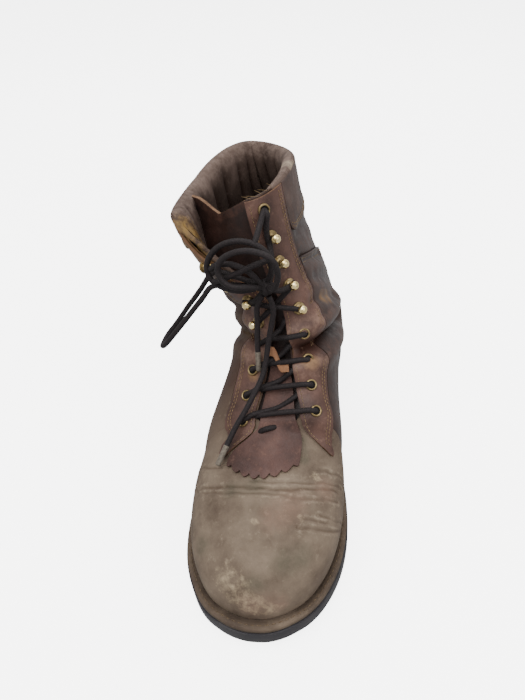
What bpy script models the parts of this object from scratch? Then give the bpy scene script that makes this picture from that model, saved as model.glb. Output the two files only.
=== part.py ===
"""Logger boot for the right foot, empty and standing on its sole.

Metres, +Z up, toe towards -Y, inner side of the foot towards +X.
The origin lies on the floor under the middle of the outsole.
The tables are in millimetres: "at" counts forward from the back of the heel,
"across" counts from the line heel to toe, plus towards the inner side.
"""
import bisect
import functools
import math
from collections import namedtuple

import bmesh
import bpy
from mathutils import Vector

MM = 0.001

# Driving sizes, in millimetres
SOLE_LENGTH = 299.5
HEEL_BACK = -1.5         # station of the outsole's back end
FOOT_LINE = 4.6          # line heel to toe, from the middle of the boot's width
WELT_REACH = 6.2         # welt edge outside the line where the upper meets it
SOLE_REACH = 7.0         # outsole edge outside the same line
WELT_INSIDE = 9.0        # welt under the insole
WELT_THICK = 3.6
SOLE_THICK = 9.2
HEEL_BREAST = 72.0
TREAD_DEPTH = 3.0
WALL = 2.4               # leather with its lining
OVERLAY = 1.4            # a second leather on the wall
OVERLAY_LIFT = 0.7       # under it, clear of the wall's facets
GAP = 0.3                # between pieces that touch
INSOLE_THICK = 3.0
TONGUE_THICK = 2.2
KILTIE_THICK = 1.6
CUFF_HEIGHT = 36.0
EYELET_SETBACK = 9.5     # eyelet centres from the throat edge
EYELETS_A_SIDE = 9
HOOK_PLACES = (4, 5, 6, 7)
LACE_RADIUS = 1.7
LACE_SETBACK = 2.2
LACED_PLACES = 6         # pairs that the lace crosses; the bow sits above them
EYELET_RING = 3.5
EYELET_BEAD = 1.1

INNER = 1
OUTER = -1

# The line where upper and welt meet: plan and height
Feather = namedtuple("Feather", "at inner outer height")
FEATHER = (
    Feather(5.5, 0.0, 0.0, 36.0),
    Feather(8.0, 11.5, 11.5, 36.0),
    Feather(15.0, 21.5, 21.5, 36.0),
    Feather(30.0, 29.0, 29.5, 36.0),
    Feather(50.0, 31.0, 32.0, 36.0),
    Feather(75.0, 30.0, 33.5, 36.0),
    Feather(100.0, 29.0, 36.5, 32.4),
    Feather(125.0, 29.5, 41.0, 26.6),
    Feather(155.0, 33.0, 46.5, 19.4),
    Feather(182.0, 38.0, 50.0, 14.8),
    Feather(205.0, 41.5, 51.5, 13.1),
    Feather(228.0, 42.5, 50.5, 13.1),
    Feather(250.0, 39.5, 45.5, 14.8),
    Feather(268.0, 33.0, 37.0, 17.4),
    Feather(280.0, 25.0, 28.0, 19.6),
    Feather(287.0, 15.5, 17.5, 21.0),
    Feather(290.3, 7.0, 8.0, 21.6),
    Feather(291.0, 0.0, 0.0, 21.8),
)

# Sections of the upper, from the toe over the throat and ankle to the collar.
# Each is a slice from its top point, on the vamp ridge or between the throat
# edges, to its low point, on the feather line or on the back seam.
Section = namedtuple(
    "Section",
    "top_at top_z top_x low_at low_z low_x half_inner half_outer gap_inner gap_outer widest tilt",
)
ON_FEATHER = 0.0
SECTIONS = (
    Section(291.0, 22.1, 0.0, 291.0, ON_FEATHER, 0.0, 0.0, 0.0, 0.0, 0.0, 0.30, 0.0),
    Section(290.0, 30.0, 0.0, 290.0, ON_FEATHER, 0.0, 8.6, 9.6, 0.0, 0.0, 0.30, 0.0),
    Section(286.5, 39.0, 0.5, 286.5, ON_FEATHER, 0.0, 17.4, 19.6, 0.0, 0.0, 0.30, 0.0),
    Section(280.0, 47.5, 1.0, 280.0, ON_FEATHER, 0.0, 26.6, 29.8, 0.0, 0.0, 0.30, 0.0),
    Section(270.0, 55.0, 1.5, 270.0, ON_FEATHER, 0.0, 34.2, 37.8, 0.0, 0.0, 0.30, 0.0),
    Section(255.0, 62.0, 2.5, 255.0, ON_FEATHER, 0.0, 40.6, 45.6, 0.0, 0.0, 0.30, 0.0),
    Section(235.0, 68.5, 3.5, 235.0, ON_FEATHER, 0.0, 44.6, 51.2, 0.0, 0.0, 0.30, 0.0),
    Section(215.0, 76.0, 4.5, 215.0, ON_FEATHER, 0.0, 45.0, 53.2, 0.0, 0.0, 0.31, 0.0),
    Section(203.0, 82.0, 5.0, 203.0, ON_FEATHER, 0.0, 44.0, 53.2, 0.0, 0.0, 0.32, 0.05),
    Section(196.0, 88.0, 4.5, 185.0, ON_FEATHER, 0.0, 42.0, 52.4, 13.0, 13.0, 0.33, 0.14),
    Section(184.0, 97.0, 4.0, 160.0, ON_FEATHER, 0.0, 39.0, 49.5, 11.0, 11.0, 0.34, 0.18),
    Section(174.0, 106.5, 4.0, 130.0, ON_FEATHER, 0.0, 36.5, 45.5, 8.5, 8.5, 0.35, 0.22),
    Section(167.0, 116.5, 4.0, 98.0, ON_FEATHER, 0.0, 35.5, 41.5, 6.5, 6.5, 0.36, 0.27),
    Section(162.0, 126.5, 4.0, 65.0, ON_FEATHER, 0.0, 35.5, 39.0, 4.5, 4.5, 0.38, 0.31),
    Section(159.0, 135.0, 4.0, 35.0, ON_FEATHER, 0.0, 33.5, 38.0, 3.0, 3.0, 0.40, 0.35),
    Section(157.0, 142.0, 3.0, 14.0, ON_FEATHER, 0.0, 32.0, 37.5, 2.5, 2.5, 0.42, 0.37),
    Section(156.0, 146.0, 2.0, 7.5, ON_FEATHER, 0.0, 31.0, 37.0, 2.5, 2.5, 0.43, 0.37),
    Section(155.0, 150.0, 0.5, 5.5, ON_FEATHER, 0.0, 30.0, 36.5, 2.5, 3.0, 0.44, 0.37),
    Section(154.0, 156.0, -3.0, 2.5, 62.0, -2.0, 29.0, 36.0, 3.0, 4.5, 0.46, 0.35),
    Section(153.0, 164.5, -8.5, 6.0, 92.0, -8.0, 29.0, 35.0, 5.0, 9.5, 0.49, 0.32),
    Section(152.0, 174.5, -14.5, 14.0, 122.0, -15.5, 31.0, 33.0, 8.0, 16.5, 0.52, 0.29),
    Section(151.0, 185.0, -20.5, 22.0, 150.0, -21.0, 33.5, 30.5, 11.5, 21.5, 0.56, 0.26),
    Section(150.0, 195.0, -26.0, 27.0, 176.0, -25.5, 36.0, 28.5, 15.0, 22.5, 0.60, 0.24),
    Section(148.0, 205.0, -31.0, 28.0, 198.0, -28.5, 37.5, 26.5, 18.0, 21.0, 0.64, 0.25),
)
COLLAR_ROW = len(SECTIONS) - 1
FIRST_EYELET_ROW = {INNER: 9.25, OUTER: 8.95}
TOP_EYELET_ROW = {INNER: 22.3, OUTER: 21.4}
ROUND_TOP = 0.86
ROUND_LOW = 1.0

# Facing with its front tab: borders in millimetres from the throat edge
Facing = namedtuple("Facing", "row near far")
FACING_STRIP = (
    Facing(9.0, 0.6, 22.0),
    Facing(10.0, 0.6, 21.0),
    Facing(11.0, 0.6, 22.0),
    Facing(13.0, 0.6, 24.0),
    Facing(16.0, 0.6, 26.0),
    Facing(22.9, 0.6, 28.0),
)
FACING = {
    INNER: (
        Facing(7.5, 34.0, 36.5),
        Facing(7.7, 26.5, 37.0),
        Facing(8.2, 15.5, 33.0),
        Facing(8.6, 6.5, 26.5),
    ) + FACING_STRIP,
    OUTER: (
        Facing(7.0, 33.5, 35.5),
        Facing(7.25, 28.5, 37.0),
        Facing(7.7, 20.5, 36.0),
        Facing(8.2, 14.0, 31.0),
        Facing(8.6, 6.0, 25.5),
    ) + FACING_STRIP,
}

# Quarter: its lower border in millimetres above the end of the section
Quarter = namedtuple("Quarter", "row above")
QUARTER = (
    Quarter(8.9, 34.0),
    Quarter(10.0, 33.0),
    Quarter(12.0, 30.0),
    Quarter(14.0, 28.0),
    Quarter(15.0, 26.0),
    Quarter(16.0, 22.0),
    Quarter(17.0, 14.0),
    Quarter(18.0, 0.6),
    Quarter(19.3, 0.6),
)

# Kiltie: reach to both sides of the middle, and height over the upper's line
Kiltie = namedtuple("Kiltie", "row inner outer lift")
KILTIE = (
    Kiltie(6.35, 14.0, 29.5, 0.8),
    Kiltie(6.9, 15.0, 29.0, 0.8),
    Kiltie(7.2, 15.0, 26.0, 0.8),
    Kiltie(7.5, 15.0, 21.5, 0.8),
    Kiltie(7.8, 14.5, 17.0, 0.9),
    Kiltie(8.3, 13.0, 12.5, 1.0),
    Kiltie(8.8, 11.2, 11.0, 1.0),
    Kiltie(9.3, 10.4, 10.4, 0.2),
    Kiltie(10.0, 9.0, 9.0, -1.6),
    Kiltie(11.0, 6.8, 6.8, -1.6),
    Kiltie(11.7, 5.6, 5.6, 2.0),
)
KILTIE_POINTS = 7
KILTIE_TOOTH = 0.12      # depth of the pinked edge, in rows
KILTIE_BOW = 0.2         # how far that edge draws back at its corners, in rows

# Tongue: reach behind the facings, sag between them, and how far its outer
# half leaves the wall and folds back into the boot
Tongue = namedtuple("Tongue", "row reach sag fold")
TONGUE = (
    Tongue(7.7, 15.0, 0.6, 0.0),
    Tongue(8.5, 14.0, 0.6, 0.0),
    Tongue(10.0, 14.0, 0.6, 0.0),
    Tongue(14.0, 14.0, 0.6, 0.0),
    Tongue(18.0, 14.0, 1.2, 0.05),
    Tongue(20.0, 14.0, 2.0, 0.45),
    Tongue(21.5, 14.0, 2.0, 0.85),
    Tongue(22.6, 14.0, 2.0, 1.0),
)
FOLD_REACH = 34.0        # where the folded half meets the outer wall
FOLD_BACK = 9.0          # its crease, behind the line between the throat edges
FOLD_SHARE = 0.55        # and along that line, from the outer edge

# The bow: its knot, and the routes of the free stretches that leave it
Route = namedtuple("Route", "at across height")
KNOT = Route(165.7, -1.5, 165.0)
UPPER_LOOP = (
    Route(168.0, 3.0, 178.0),
    Route(168.0, 1.5, 188.0),
    Route(167.0, -5.5, 193.5),
    Route(166.0, -15.0, 194.5),
    Route(165.0, -24.5, 191.0),
    Route(164.5, -31.5, 184.0),
    Route(165.0, -34.5, 175.5),
    Route(166.5, -31.5, 168.0),
    Route(168.5, -24.0, 165.0),
    Route(170.5, -15.0, 165.0),
)
INNER_LOOP = (
    Route(175.5, 5.0, 170.5),
    Route(177.5, 8.0, 180.0),
    Route(178.5, 6.5, 189.5),
    Route(178.0, 0.5, 194.0),
    Route(177.0, -8.0, 195.0),
    Route(176.0, -16.5, 192.5),
    Route(175.5, -23.0, 187.5),
    Route(175.5, -25.2, 181.0),
    Route(176.4, -23.0, 175.0),
    Route(177.0, -17.5, 172.0),
    Route(176.2, -11.0, 171.5),
    Route(173.5, -6.5, 169.5),
)
SIDE_LOOP = (
    Route(160.0, -26.5, 162.0),
    Route(160.0, -35.5, 160.0),
    Route(161.0, -40.5, 154.0),
    Route(162.0, -54.5, 136.5),
    Route(162.0, -62.5, 126.5),
    Route(161.0, -70.5, 116.5),
    Route(158.5, -74.5, 112.0),
    Route(152.5, -76.0, 110.0),
    Route(146.5, -74.5, 112.0),
    Route(144.0, -70.5, 116.5),
    Route(144.5, -64.5, 124.5),
    Route(146.5, -58.0, 134.0),
    Route(153.0, -44.0, 154.0),
    Route(156.0, -38.0, 163.5),
    Route(158.5, -31.5, 170.0),
    Route(160.5, -22.0, 169.0),
)
LONG_END = (
    Route(167.5, 2.0, 150.0),
    Route(170.0, -0.5, 136.5),
    Route(174.0, -3.0, 122.5),
    Route(180.5, -5.5, 110.5),
    Route(190.0, -10.5, 102.0),
    Route(197.5, -15.5, 94.5),
    Route(203.0, -20.0, 88.5),
    Route(208.0, -23.5, 83.0),
    Route(212.5, -26.0, 79.0),
)
SHORT_END = (
    Route(165.5, -8.0, 150.0),
    Route(167.5, -8.5, 139.0),
    Route(170.0, -9.0, 129.5),
    Route(172.5, -9.0, 121.5),
)
KNOT_RADIUS = 5.5
CORD_STEPS = 2           # facets along a cord between two stops


def remove_old_objects():
    for obj in list(bpy.data.objects):
        bpy.data.objects.remove(obj, do_unlink=True)


remove_old_objects()
parts = bpy.data.collections.new("logger_boot")
cutters = bpy.data.collections.new("cutters")
bpy.context.scene.collection.children.link(parts)
bpy.context.scene.collection.children.link(cutters)


def material(name, colour, roughness, metallic=0.0):
    """A plain Principled material; colour is linear red, green, blue."""
    made = bpy.data.materials.new(name)
    made.use_nodes = True
    shader = made.node_tree.nodes["Principled BSDF"]
    shader.inputs["Base Color"].default_value = (*colour, 1.0)
    shader.inputs["Roughness"].default_value = roughness
    shader.inputs["Metallic"].default_value = metallic
    return made


VAMP_LEATHER = material("vamp_leather", (0.16, 0.11, 0.08), 0.6)
DARK_LEATHER = material("dark_leather", (0.07, 0.035, 0.025), 0.5)
RED_LEATHER = material("red_leather", (0.12, 0.05, 0.035), 0.5)
WELT_LEATHER = material("welt_leather", (0.13, 0.09, 0.065), 0.7)
INSOLE_BOARD = material("insole_board", (0.2, 0.15, 0.1), 0.8)
RUBBER = material("black_rubber", (0.02, 0.02, 0.022), 0.65)
BRASS = material("antique_brass", (0.35, 0.25, 0.14), 0.35, 1.0)
LACE_CORD = material("lace_cord", (0.03, 0.02, 0.017), 0.8)
WEBBING = material("webbing", (0.015, 0.015, 0.015), 0.85)


def spot(at, across, height):
    """A point of the tables, in metres in the boot's frame."""
    return Vector((FOOT_LINE + across, SOLE_LENGTH / 2 + HEEL_BACK - at, height)) * MM


def smooth(values, position):
    """Read a list of tuples at a fractional index, on a smooth curve."""
    last = len(values) - 1
    start = min(max(int(position), 0), last - 1)
    step = position - start
    before = values[max(start - 1, 0)]
    after = values[min(start + 2, last)]
    row = []
    for a, b, c, d in zip(before, values[start], values[start + 1], after):
        slope_b = (c - a) / 2
        slope_c = (d - b) / 2
        lead = (2 * step ** 3 - 3 * step ** 2 + 1) * b + (3 * step ** 2 - 2 * step ** 3) * c
        turn = (step ** 3 - 2 * step ** 2 + step) * slope_b + (step ** 3 - step ** 2) * slope_c
        row.append(lead + turn)
    return row


def straight(table, key):
    """Read a table whose first column rises, in straight lines."""
    keys = [row[0] for row in table]
    last = min(max(bisect.bisect_right(keys, key), 1), len(table) - 1)
    low = table[last - 1]
    high = table[last]
    share = min(max((key - low[0]) / (high[0] - low[0]), 0.0), 1.0)
    return type(low)(*[a + (b - a) * share for a, b in zip(low, high)])


OUTLINE_STEPS = 8


@functools.lru_cache(maxsize=None)
def outline(reach, side):
    """Stations and half widths of one side, reach outside the feather line."""
    loop = [(row.at, row.inner) for row in FEATHER]
    loop += [(row.at, -row.outer) for row in reversed(FEATHER[1:-1])]
    count = len(loop) * OUTLINE_STEPS
    closed = loop[-2:] + loop + loop[:3]
    ring = [smooth(closed, 2 + i / OUTLINE_STEPS) for i in range(count)]
    edge = []
    for i, (at, across) in enumerate(ring):
        before = ring[i - 1]
        after = ring[(i + 1) % count]
        run = Vector((after[0] - before[0], after[1] - before[1])).normalized()
        edge.append((at - run.y * reach, across + run.x * reach))
    tip = (len(FEATHER) - 1) * OUTLINE_STEPS
    half = edge[:tip + 1] if side == INNER else [edge[0]] + edge[:tip - 1:-1]
    half = sorted((at, side * across) for at, across in half)
    return half


def sole_ends(reach):
    line = outline(reach, INNER)
    return line[0][0], line[-1][0]


Half = namedtuple("Half", "at width")


def half_width(at, reach, side):
    return straight([Half(*row) for row in outline(reach, side)], at).width


FEATHER_HEIGHTS = [(row.at, row.height) for row in FEATHER]


def feather_height(at):
    """Height of the feather line, smooth along the sole."""
    keys = [row[0] for row in FEATHER_HEIGHTS]
    start = min(max(bisect.bisect_right(keys, at), 1), len(keys) - 1) - 1
    share = (at - keys[start]) / (keys[start + 1] - keys[start])
    return smooth(FEATHER_HEIGHTS, start + min(max(share, 0.0), 1.0))[1]


Slice = namedtuple("Slice", Section._fields + ("foot_inner", "foot_outer"))


def stand(row):
    """A section with its foot on the feather line."""
    feet = [half_width(row.low_at, 0.0, side) for side in (INNER, OUTER)]
    height = feather_height(row.low_at) + 3 * GAP
    return Slice(*row._replace(low_z=height)[:len(Section._fields)], *feet)


def full_slice(row):
    """A section on the feather line, or closed at the back seam."""
    return stand(row) if row.low_z == ON_FEATHER else Slice(*row, 0.0, 0.0)


SLICES = [full_slice(row) for row in SECTIONS]
LAST_STANDING = max(i for i, row in enumerate(SECTIONS) if row.low_z == ON_FEATHER)


@functools.lru_cache(maxsize=None)
def slice_at(row):
    found = Slice(*smooth(SLICES, row))
    return stand(found) if row <= LAST_STANDING else found


def throat_gap(side, row):
    """Distance of a throat edge from the section's middle line."""
    cut = slice_at(row)
    return max(cut.gap_inner if side == INNER else cut.gap_outer, 0.0)


def upper_point(side, row, round_share):
    """Outer face of the upper: 0 at ridge or throat edge, 1 at the low end."""
    cut = slice_at(row)
    half = cut.half_inner if side == INNER else cut.half_outer
    foot = max(cut.foot_inner if side == INNER else cut.foot_outer, 0.0)
    gap = throat_gap(side, row)
    turn = min(max(round_share, 0.0), 1.0) * math.pi
    if turn <= math.pi / 2:
        across = gap + (half - gap) * math.sin(turn) ** ROUND_TOP
        rise = cut.widest + (1 - cut.widest) * max(math.cos(turn), 0.0) ** ROUND_TOP
    else:
        turn -= math.pi / 2
        across = foot + (half - foot) * max(math.cos(turn), 0.0) ** ROUND_LOW
        rise = cut.widest * (1 - math.sin(turn) ** ROUND_LOW)
    middle = cut.low_x + (cut.top_x - cut.low_x) * rise
    lean = cut.tilt * side * across * min(2 * rise, 1.0)
    return spot(
        cut.low_at + (cut.top_at - cut.low_at) * rise,
        middle + side * across,
        cut.low_z + (cut.top_z - cut.low_z) * rise + lean,
    )


def upper_normal(side, row, round_share):
    """Outward direction of the upper's face."""
    step = 0.02
    here = min(max(round_share, step), 1 - step)
    along = min(max(row, step), COLLAR_ROW - step)
    up = upper_point(side, along + step, here) - upper_point(side, along - step, here)
    down = upper_point(side, along, here + step) - upper_point(side, along, here - step)
    return (up.cross(down) * -side).normalized()


WALK_STEPS = 40


@functools.lru_cache(maxsize=None)
def walk_lengths(side, row):
    """Distance in millimetres from the throat edge at each step of a slice."""
    lengths = [0.0]
    last = upper_point(side, row, 0.0)
    for i in range(1, WALK_STEPS + 1):
        here = upper_point(side, row, i / WALK_STEPS)
        lengths.append(lengths[-1] + (here - last).length / MM)
        last = here
    return lengths


def share_at(side, row, distance):
    """Round share at a distance in millimetres from the throat edge."""
    lengths = walk_lengths(side, row)
    place = min(max(bisect.bisect_right(lengths, distance), 1), WALK_STEPS)
    low = lengths[place - 1]
    high = lengths[place]
    return (place - 1 + min(max((distance - low) / (high - low), 0.0), 1.0)) / WALK_STEPS


def on_upper(side, row, distance, lift):
    """A point at a distance from the throat edge, lifted off the wall."""
    share = share_at(side, row, distance)
    return upper_point(side, row, share) + upper_normal(side, row, share) * lift * MM


def across_throat(row, distance, lift):
    """A point across the throat: distance from the edges' middle, plus inner."""
    side = INNER if distance >= 0 else OUTER
    beyond = abs(distance) - throat_gap(side, row)
    if beyond > 0:
        return on_upper(side, row, beyond, lift)
    outer = throat_gap(OUTER, row)
    width = throat_gap(INNER, row) + outer
    share = (distance + outer) / width if width > 0 else 0.5
    return throat_line(row, share, lift)


def throat_line(row, share, lift):
    """A point between the throat edges: 0 at the outer one, 1 at the inner one."""
    edges = [on_upper(way, row, 0.0, lift) for way in (OUTER, INNER)]
    return edges[0].lerp(edges[1], share)


def add_object(name, mesh, finish, collection=parts):
    obj = bpy.data.objects.new(name, mesh)
    mesh.materials.append(finish)
    collection.objects.link(obj)
    return obj


def shade(mesh, degrees=40):
    mesh.shade_smooth()
    mesh.set_sharp_from_angle(angle=math.radians(degrees))


def grid(columns, rows, place, flip=False):
    """A grid whose corners run 0 to 1 both ways, laid out by a function."""
    sheet = bmesh.new()
    bmesh.ops.create_grid(sheet, x_segments=columns, y_segments=rows, size=0.5)
    for vertex in sheet.verts:
        vertex.co = place(vertex.co.x + 0.5, vertex.co.y + 0.5)
    if flip:
        bmesh.ops.reverse_faces(sheet, faces=sheet.faces)
    return sheet


def to_mesh(name, sheet):
    mesh = bpy.data.meshes.new(name)
    bmesh.ops.remove_doubles(sheet, verts=sheet.verts, dist=1e-6)
    sheet.to_mesh(mesh)
    sheet.free()
    shade(mesh)
    return mesh


def thicken(obj, thickness, offset):
    wall = obj.modifiers.new("wall", "SOLIDIFY")
    wall.thickness = thickness * MM
    wall.offset = offset
    return wall


def mix(low, high, share):
    return low + (high - low) * share


# Rows where the panels have their facets: close round throat and heel
TOE_ROWS = [float(row) for row in range(8)]
THROAT_ROWS = [7.5, 8.0, 8.3, 8.6, 9.0, 9.5, 10.0, 11.0, 12.0, 12.5]
HEEL_ROWS = [13.0, 14.0, 15.0, 16.0, 17.0, 17.5, 18.0, 18.5, 19.0]
SHAFT_ROWS = [float(row) for row in range(20, COLLAR_ROW + 1)]
ROW_PLACES = TOE_ROWS + THROAT_ROWS + HEEL_ROWS + SHAFT_ROWS
UPPER_ROUND = 12


def rows_between(first, last):
    inside = [row for row in ROW_PLACES if first + 0.05 < row < last - 0.05]
    return [first] + inside + [last]


def row_grid(rows, columns, place, flip=False):
    """A grid with its first direction at given rows of the upper."""
    count = len(rows) - 1
    return grid(count, columns, lambda a, b: place(rows[round(a * count)], b), flip)


def make_upper():
    """Two half shells, welded at the ridge and the back seam, with one wall."""
    shell = bmesh.new()
    for side in (INNER, OUTER):
        half = row_grid(
            ROW_PLACES,
            UPPER_ROUND,
            lambda row, share: upper_point(side, row, share),
            flip=side == INNER,
        )
        mesh = bpy.data.meshes.new("half")
        half.to_mesh(mesh)
        half.free()
        shell.from_mesh(mesh)
        bpy.data.meshes.remove(mesh)
    upper = add_object("upper", to_mesh("upper", shell), VAMP_LEATHER)
    thicken(upper, WALL, -1.0)


def make_overlay(name, finish, side, rows, borders):
    """A second leather on one side; its facets follow the wall's own."""

    def place(row, share):
        near, far = [share_at(side, row, distance) for distance in borders(row)]
        inside = min(max(share, near), far)
        lift = upper_normal(side, row, inside) * OVERLAY_LIFT * MM
        return upper_point(side, row, inside) + lift

    sheet = row_grid(rows, UPPER_ROUND, place, flip=side == INNER)
    thicken(add_object(name, to_mesh(name, sheet), finish), OVERLAY, 1.0)


def make_facing(side, name):
    """Eyelet stay along the throat edge, with its pointed front tab."""

    def borders(row):
        form = straight(FACING[side], row)
        return form.near, form.far

    rows = rows_between(FACING[side][0].row, FACING[side][-1].row)
    make_overlay(name, RED_LEATHER, side, rows, borders)


def behind_facing(side, row):
    """Distance from the throat edge where the next leather may start."""
    return straight(FACING[side], row).far + 2 * GAP


def make_quarter(side, name):
    """Leather behind the facing, from its lower seam up to the ankle seam."""

    def borders(row):
        near = behind_facing(side, row)
        return near, walk_lengths(side, row)[-1] - straight(QUARTER, row).above

    rows = rows_between(QUARTER[0].row, QUARTER[-1].row)
    make_overlay(name, DARK_LEATHER, side, rows, borders)


def row_below_collar(side, share, distance):
    """The row that lies a distance below the collar, along the wall."""
    last = upper_point(side, COLLAR_ROW, share)
    walked = 0.0
    row = COLLAR_ROW
    while walked < distance:
        row -= 0.05
        here = upper_point(side, row, share)
        walked += (here - last).length / MM
        last = here
    return row


CUFF_ROWS = 3
CUFF_COLUMNS = 28


def make_cuff():
    """Band round the collar, from one facing round the back to the other."""
    top = COLLAR_ROW - 0.05

    def place(a, b):
        side = INNER if b < 0.5 else OUTER
        turn = abs(1 - 2 * b)
        edge = share_at(side, top, behind_facing(side, top))
        share = mix(1.0, edge, turn)
        low = row_below_collar(side, share, CUFF_HEIGHT)
        row = mix(low, top, a)
        share = mix(1.0, share_at(side, row, behind_facing(side, row)), turn)
        return upper_point(side, row, share) + upper_normal(side, row, share) * OVERLAY_LIFT * MM

    sheet = grid(CUFF_ROWS, CUFF_COLUMNS, place, flip=True)
    thicken(add_object("cuff", to_mesh("cuff", sheet), DARK_LEATHER), OVERLAY, 1.0)


TONGUE_COLUMNS = 8


def make_tongue():
    """Leather sheet behind the throat; its outer half folds back at the top."""
    behind = WALL + 3 * GAP

    def place(row, share):
        form = straight(TONGUE, row)
        inner = throat_gap(INNER, row) + form.reach
        outer = throat_gap(OUTER, row) + form.reach
        sag = form.sag * (1 - (2 * share - 1) ** 2)
        flat = across_throat(row, mix(inner, -outer, share), -behind - sag)
        if form.fold == 0:
            return flat
        crease = throat_line(row, FOLD_SHARE, -behind) + Vector((0.0, FOLD_BACK * MM, 0.0))
        stops = (
            across_throat(row, inner, -behind),
            throat_line(row, 1.0, -behind),
            crease,
            on_upper(OUTER, row, FOLD_REACH, -behind),
        )
        folded = Vector(smooth(stops, (len(stops) - 1) * share))
        return flat.lerp(folded, form.fold)

    rows = rows_between(TONGUE[0].row, TONGUE[-1].row)
    sheet = row_grid(rows, TONGUE_COLUMNS, place)
    thicken(add_object("tongue", to_mesh("tongue", sheet), RED_LEATHER), TONGUE_THICK, -1.0)


def make_kiltie():
    """False tongue over the vamp, pinked at its front edge."""
    first = KILTIE[0].row

    def place(row, share):
        tooth = 1 - abs(math.cos(math.pi * KILTIE_POINTS * share))
        dent = KILTIE_TOOTH * tooth + KILTIE_BOW * (2 * share - 1) ** 2
        form = straight(KILTIE, row + dent if row == first else row)
        return across_throat(form.row, mix(form.inner, -form.outer, share), form.lift)

    rows = rows_between(first, KILTIE[-1].row)
    sheet = row_grid(rows, 2 * KILTIE_POINTS, place)
    thicken(add_object("kiltie", to_mesh("kiltie", sheet), RED_LEATHER), KILTIE_THICK, 1.0)


SOLE_STATIONS = 24


def station(share, ends):
    """Stations that crowd towards the two round ends."""
    return mix(ends[0], ends[1], (1 - math.cos(math.pi * share)) / 2)


def slab(name, finish, reach, top, bottom, columns=4, ends=None):
    """A closed slab inside an outline, between two heights along the sole."""
    ends = ends or sole_ends(reach)
    body = bmesh.new()
    for height, flip in ((top, True), (bottom, False)):

        def place(a, b):
            at = station(a, ends)
            across = mix(half_width(at, reach, INNER), -half_width(at, reach, OUTER), b)
            return spot(at, across, height(at))

        face = grid(SOLE_STATIONS, columns, place, flip=flip)
        mesh = bpy.data.meshes.new("face")
        face.to_mesh(mesh)
        face.free()
        body.from_mesh(mesh)
        bpy.data.meshes.remove(mesh)
    bmesh.ops.remove_doubles(body, verts=body.verts, dist=1e-6)
    rims = [edge for edge in body.edges if edge.is_boundary]
    bmesh.ops.bridge_loops(body, edges=rims)
    bmesh.ops.recalc_face_normals(body, faces=body.faces)
    return add_object(name, to_mesh(name, body), finish)


def sole_top(at):
    return feather_height(at) - WELT_THICK - 2 * GAP


def sole_bottom(at):
    """Flat under ball and heel seat, with an arch and a toe spring."""
    return max(sole_top(at) - SOLE_THICK, 0.0)


def make_welt():
    """Strip all round, under the upper's edge and the rim of the insole."""
    heights = (0.0, 0.0, -WELT_THICK, -WELT_THICK)
    reaches = (-WELT_INSIDE, WELT_REACH, WELT_REACH, -WELT_INSIDE)

    def place(a, b):
        corner = round(b * 4) % 4
        reach = reaches[corner]
        ends = sole_ends(reach)
        side = INNER if a < 0.5 else OUTER
        along = 2 * a if a < 0.5 else 2 - 2 * a
        at = station(along, ends)
        half = half_width(at, reach, side) if 0 < along < 1 else 0.0
        return spot(at, side * half, feather_height(at) + heights[corner])

    ring = grid(2 * SOLE_STATIONS, 4, place)
    bmesh.ops.remove_doubles(ring, verts=ring.verts, dist=1e-6)
    bmesh.ops.recalc_face_normals(ring, faces=ring.faces)
    add_object("welt", to_mesh("welt", ring), WELT_LEATHER)


def box_cutter(name, at, across, height, size, turn=0.0):
    cube = bmesh.new()
    bmesh.ops.create_cube(cube, size=1.0)
    mesh = bpy.data.meshes.new(name)
    cube.to_mesh(mesh)
    cube.free()
    cutter = add_object(name, mesh, RUBBER, cutters)
    cutter.location = spot(at, across, height)
    cutter.scale = [side * MM for side in size]
    cutter.rotation_euler.z = turn
    cutter.hide_render = True
    cutter.display_type = "WIRE"
    return cutter


def cut(obj, cutter):
    trim = obj.modifiers.new(cutter.name, "BOOLEAN")
    trim.operation = "DIFFERENCE"
    trim.object = cutter


GROOVES = 7
FIRST_GROOVE = 172.0
GROOVE_PITCH = 12.0
GROOVE_WIDTH = 4.5
TREAD_RIM = 13.0         # plain rubber outside the grooves


def make_outsole():
    """Rubber sole with grooves across the ball, inside a plain rim."""
    outsole = slab("outsole", RUBBER, SOLE_REACH, sole_top, sole_bottom)
    for i in range(GROOVES):
        at = FIRST_GROOVE + i * GROOVE_PITCH
        inner = half_width(at, SOLE_REACH, INNER) - TREAD_RIM
        outer = half_width(at, SOLE_REACH, OUTER) - TREAD_RIM
        groove = box_cutter(
            f"ball_groove_{i}", at, (inner - outer) / 2, 0.0,
            (inner + outer, GROOVE_WIDTH, 2 * TREAD_DEPTH))
        cut(outsole, groove)


# Heel: levels over the floor, and their inset from the outsole's edge
HeelLevel = namedtuple("HeelLevel", "height inset")
HEEL_SEAT = sole_top(HEEL_BREAST / 2) - SOLE_THICK - GAP
HEEL = (
    HeelLevel(0.0, 4.2),
    HeelLevel(1.6, 3.0),
    HeelLevel(HEEL_SEAT, 0.6),
)
HEEL_STEPS = 16


def make_heel():
    """Heel block under the seat, a little smaller at the floor."""
    body = bmesh.new()
    rings = []
    for height, inset in HEEL:
        reach = SOLE_REACH - inset
        back = sole_ends(reach)[0]
        ring = []
        for side in (INNER, OUTER):
            shares = range(HEEL_STEPS + 1) if side == INNER else range(HEEL_STEPS, 0, -1)
            for i in shares:
                along = 1 - math.cos(math.pi / 2 * i / HEEL_STEPS)
                at = mix(back, HEEL_BREAST - inset, along)
                half = half_width(at, reach, side) if i else 0.0
                ring.append(body.verts.new(spot(at, side * half, height)))
        rings.append(ring)
    for low, high in zip(rings, rings[1:]):
        for i in range(len(low)):
            j = (i + 1) % len(low)
            body.faces.new((low[i], low[j], high[j], high[i]))
    body.faces.new(rings[0])
    body.faces.new(rings[-1])
    bmesh.ops.recalc_face_normals(body, faces=body.faces)
    add_object("heel", to_mesh("heel", body), RUBBER)


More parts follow.
